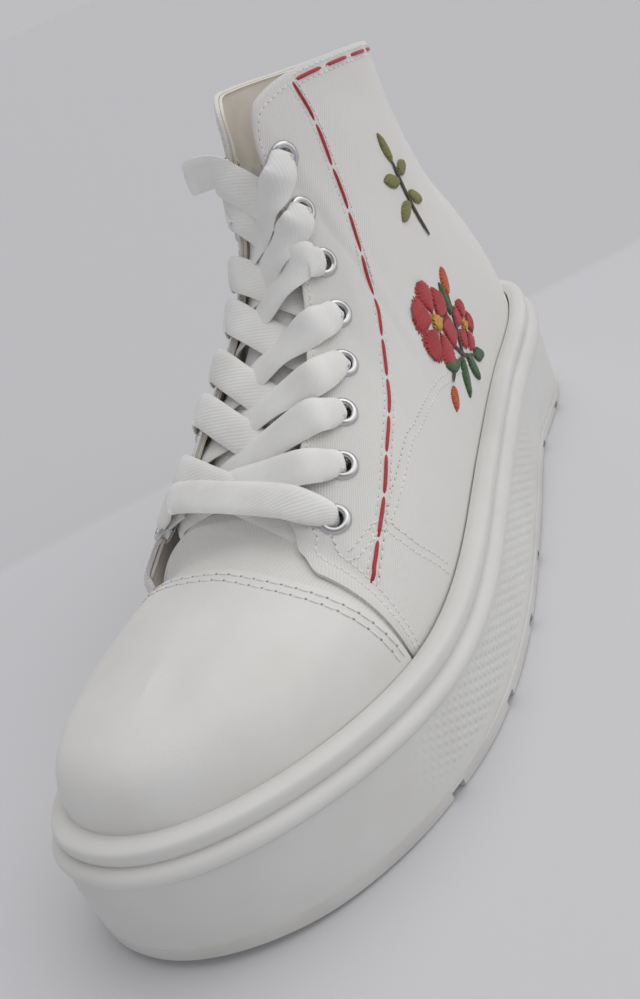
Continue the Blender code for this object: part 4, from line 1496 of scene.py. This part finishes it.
def ribbon(points, flats, widths, curls):
    """Rows round a flat strip that follows points, with its width along the flats."""
    count = LACE_STEPS * (len(points) - 1) + 1
    path, flat, width, curl = [trace(values, count) for values in (points, flats, widths, curls)]
    heading = unit(np.gradient(path, axis=0))
    flat = unit(flat - heading * np.einsum("ij,ij->i", flat, heading)[:, None])
    normal = np.cross(flat, heading)
    half = LACE_THICKNESS / 2 * (1 - 0.75 * LACE_ACROSS**6)
    sides = []
    for face, across in ((1, slice(None)), (-1, slice(None, None, -1))):
        x = LACE_ACROSS[across]
        rise = face * half[across][None] - curl[:, None] * (x**2)[None] * width[:, None] / 2
        sides.append(
            path[:, None]
            + flat[:, None] * (x[None] * width[:, None] / 2)[..., None]
            + normal[:, None] * rise[..., None]
        )
    return np.concatenate(sides, axis=1)


def lace_piece(name, strips, look, node):
    """One level's strips as one piece."""
    made = []
    for strip in strips:
        tape = grid_piece(name, strip, closed=True)
        seal(tape)
        shade(tape, 60.0)
        made.append(tape)
    bpy.ops.object.select_all(action="DESELECT")
    for tape in made:
        tape.select_set(True)
    bpy.context.view_layer.objects.active = made[0]
    if len(made) > 1:
        bpy.ops.object.join()
    piece = bpy.context.view_layer.objects.active
    piece.name = piece.data.name = name
    dress(piece, look, "lace_weave", node)


def flats_for(points, ups):
    """Width directions, square to the way the strip runs and to the cloth under it."""
    heading = np.gradient(np.array(points), axis=0)
    return unit(np.cross(heading, np.array(ups)))


# Where each strip runs, in eyelet levels below its own eyelet, at the edge that it comes over and at the
# far edge, and how far it stands off the cloth in between, where it was left slack
RUNS = table(
    "level lateral_edge lateral_far lateral_slack medial_edge medial_far medial_slack",
    (2, 0.50, 0.95, 0.3, 0.33, 1.30, 0.3),
    (3, 0.62, 1.85, 0.2, 0.18, 1.50, 0.6),
    (4, 0.92, 1.85, 0.3, 0.33, 1.65, 0.4),
    (5, 0.90, 2.05, 0.5, 0.34, 1.35, 0.6),
    (6, 0.62, 1.70, 0.3, 0.55, 1.20, 0.5),
    (7, 1.05, 2.00, 0.8, 0.40, 1.35, 0.6),
    (8, 1.20, 2.20, 1.2, 0.75, 1.60, 11.0),
)


# The last points of a strip, from the throat's edge on to the flange and down through the eyelet: shares of
# the drop and of the slack, how far from edge to eyelet, and how far off the cloth
EYELET_END = table(
    "drop_share slack_share reach offset",
    (1.0, 0.35, 0.08, 2.0),
    (0.5, 1.0, 0.55, 1.9),
    (0.0, 0.0, 0.93, 1.6),
    (0.0, 0.0, 1.04, -0.4),
    (0.0, 0.0, 1.05, -2.4),
)


def eyelet_end(side, level, drop, slack):
    """A strip's last points, and the cloth's outward direction at each."""
    points = [
        spot(side, level - drop_share * drop, reach, offset + slack_share * slack)
        for drop_share, slack_share, reach, offset in zip(*EYELET_END.values())
    ]
    return points, [edge_out(side, level)] * len(points)


# How far off the cloth a strip starts at the far edge, and how far it rises just after
USUAL_START = (-2.8, -0.3)
LOWEST_START = (-1.0, 0.8)
STRIP_WIDTHS = LACE_WIDTH * np.array([1, 1, 1, 1, 1, 0.92, 0.64, 0.44, 0.4])
STRIP_CURLS = (0.0, 0.05, 0.08, 0.08, 0.08, 0.12, 0.25, 0.45, 0.5)


def crossing(side, level):
    """The strip that comes from under the far edge, lower down, and enters this side's eyelet."""
    far = -side
    row = level - 2
    drop, far_drop, slack = [RUNS[f"{SIDE_NAMES[side]}_{key}"][row] for key in ("edge", "far", "slack")]
    below = level - far_drop
    far_out, near_out = edge_out(far, below), edge_out(side, level - drop)
    under = [spot(far, below - 0.1, 0.8, -4.2), spot(far, below, 0.3, -3.4)]
    last, last_ups = eyelet_end(side, level, drop, slack)
    # The lowest crossing lies on the vamp, which comes up close under the quarters there
    start_off, low_rise = LOWEST_START if level == 2 else USUAL_START
    start = spot(far, below, 0.0, start_off)
    middle = [over_throat(start, last[0], share, rise) for share, rise in ((0.36, low_rise), (0.7, 0.7))]
    points = under + middle + last
    upward = unit(far_out + near_out)
    ups = [far_out, far_out, upward, upward] + last_ups
    flats = flats_for(points, ups)
    flats[-3:] = flats[-4]
    flats[0] = flats[1]
    return ribbon(points, flats, STRIP_WIDTHS, STRIP_CURLS)


# Cotton tape: a bright matte white with ribs that slant across it, drawn at 0.95 mm so that they show.
LACE_RIB = 0.95
LACE_SLANT = math.radians(32.0)
lace_cotton, shader = start_material("herringbone_cotton_tape", roughness=0.85)
drift(lace_cotton, shader, 9.0, "#F3F2EF", "#EAE9E5")
place = add_node(lace_cotton, "ShaderNodeTexCoord")
turned = add_node(
    lace_cotton, "ShaderNodeMapping", {"Vector": place.outputs["UV"], "Rotation": (0.0, 0.0, LACE_SLANT)}
)
slant = add_node(
    lace_cotton,
    "ShaderNodeTexWave",
    {"Vector": turned.outputs["Vector"], "Scale": WAVE_PITCH / LACE_RIB, "Distortion": 0.6, "Detail": 1.0},
    bands_direction="X",
)
relief = add_node(
    lace_cotton, "ShaderNodeBump", {"Height": slant.outputs["Fac"], "Strength": 0.35, "Distance": 0.15 * MM}
)
link(lace_cotton, relief.outputs["Normal"], shader, "Normal")

lateral_end, lateral_ups = eyelet_end(LATERAL, 1.0, 0.1, 0.0)
medial_end, medial_ups = eyelet_end(MEDIAL, 1.0, -0.18, 0.4)
bar_points = lateral_end[::-1] + [over_throat(lateral_end[0], medial_end[0], 0.5, 1.2)] + medial_end
bar_ups = lateral_ups + [THROAT_UP] + medial_ups
bar_flats = flats_for(bar_points, bar_ups)
bar_flats[:3] = bar_flats[3]
bar_flats[-3:] = bar_flats[-4]
bar_widths = np.array([0.4, 0.44, 0.62, 0.88, 0.94, 0.96, 0.96, 0.9, 0.62, 0.44, 0.4]) * LACE_WIDTH
bar_curls = [0.5, 0.45, 0.25, 0.12, 0.08, 0.06, 0.08, 0.12, 0.25, 0.45, 0.5]
lace_piece("lace_tape_1", [ribbon(bar_points, bar_flats, bar_widths, bar_curls)], lace_cotton, "lace_bar_1")
for level in range(2, EYELET_COUNT + 1):
    strips = [crossing(side, level) for side in SIDE_NAMES]
    lace_piece(f"lace_tape_{level}", strips, lace_cotton, f"lace_crossing_{level}")

# Floor and light
# A plain pale floor, a little greyer behind the shoe, under broad soft lamps.
bpy.ops.object.select_all(action="DESELECT")
bpy.ops.mesh.primitive_plane_add(size=80.0)
floor = bpy.context.object
floor.name = "floor"
# Matte painted board, a cooler grey behind a straight join that runs slantwise behind the heel.
JOIN_OFFSET = -0.1596
JOIN_BLUR = 0.004
JOIN_WAY = (0.692, -0.722, 0.0)
pale, shader = start_material("pale_painted_board", roughness=0.8)
place = add_node(pale, "ShaderNodeTexCoord")
turned = add_node(
    pale,
    "ShaderNodeVectorMath",
    {0: place.outputs["Object"], 1: JOIN_WAY},
    operation="DOT_PRODUCT",
)
join = add_node(
    pale,
    "ShaderNodeMapRange",
    {
        "Value": turned.outputs["Value"],
        "From Min": JOIN_OFFSET - JOIN_BLUR,
        "From Max": JOIN_OFFSET + JOIN_BLUR,
    },
)
tone = add_node(pale, "ShaderNodeValToRGB", {"Fac": join.outputs["Result"]})
tone.color_ramp.elements[0].color = colour("#D3D2D4")
tone.color_ramp.elements[1].color = colour("#DADADC")
link(pale, tone.outputs["Color"], shader, "Base Color")
floor.data.materials.append(pale)

scene = bpy.context.scene
scene.view_settings.view_transform = "Standard"
sky = bpy.data.worlds.new("soft_room")
sky.use_nodes = True
# The room is as bright as the floor at the horizon and darker above, as a studio sweep looks
way = add_node(sky, "ShaderNodeTexCoord")
spread = add_node(sky, "ShaderNodeSeparateXYZ", {"Vector": way.outputs["Generated"]})
height = add_node(
    sky,
    "ShaderNodeMapRange",
    {"Value": spread.outputs["Z"], "From Min": 0.0, "From Max": 0.45},
    interpolation_type="SMOOTHSTEP",
)
tone = add_node(sky, "ShaderNodeValToRGB", {"Fac": height.outputs["Result"]})
tone.color_ramp.elements[0].color = colour("#BEBEC1")
tone.color_ramp.elements[1].color = colour("#9E9EA1")
backdrop = sky.node_tree.nodes["Background"]
backdrop.inputs["Strength"].default_value = 1.0
link(sky, tone.outputs["Color"], backdrop, "Color")
scene.world = sky


def placed_frame(right, upright, back, place):
    """Matrix of a lamp or camera from its directions and its place."""
    rows = [[*row, spot] for row, spot in zip(np.column_stack([right, upright, back]), place)]
    return Matrix(rows + [[0.0, 0.0, 0.0, 1.0]])


def add_sun(name, energy, degrees, back, level, place):
    """A broad soft light from one direction, its width square to a level line."""
    bpy.ops.object.light_add(type="SUN")
    lamp = bpy.context.object
    lamp.name = name
    lamp.data.energy = energy
    lamp.data.angle = math.radians(degrees)
    back = unit(np.array(back))
    right = unit(np.cross(level, back))
    lamp.matrix_world = placed_frame(right, np.cross(back, right), back, place)


# A wide soft light from above and behind, as from a lit ceiling, and a broad lamp on the lateral side
add_sun("ceiling_light", 1.1, 75.0, back=(0.16, 0.34, 0.93), level=(0.0, 1.0, 0.0), place=(0.3, 0.6, 1.6))
add_sun("side_lamp", 0.5, 60.0, back=(2.8, 1.1, 1.7), level=(0.0, 0.0, 1.0), place=(2.8, 1.1, 1.7))

# Camera
# It stands close above the toe on the lateral side and is rolled, so that the toe points down
# and to the left.
CAMERA_PLACE = (0.15719, -0.23422, 0.19540)
AZIMUTH, ELEVATION, ROLL = [math.radians(angle) for angle in (36.376, 28.580, -24.403)]
FOCAL_PIXELS = 1016.70
IMAGE_HEIGHT = 999
SENSOR_WIDTH = 36.0
back = np.array(
    [math.sin(AZIMUTH) * math.cos(ELEVATION), -math.cos(AZIMUTH) * math.cos(ELEVATION), math.sin(ELEVATION)]
)
right = unit(np.cross(-back, (0.0, 0.0, 1.0)))
upright = np.cross(right, -back)
rolled_right = math.cos(ROLL) * right + math.sin(ROLL) * upright
rolled_up = -math.sin(ROLL) * right + math.cos(ROLL) * upright
bpy.ops.object.camera_add()
camera = bpy.context.object
camera.data.sensor_width = SENSOR_WIDTH
camera.data.lens = FOCAL_PIXELS * SENSOR_WIDTH / IMAGE_HEIGHT
camera.data.clip_start = 0.01
camera.matrix_world = placed_frame(rolled_right, rolled_up, back, CAMERA_PLACE)
scene.camera = camera
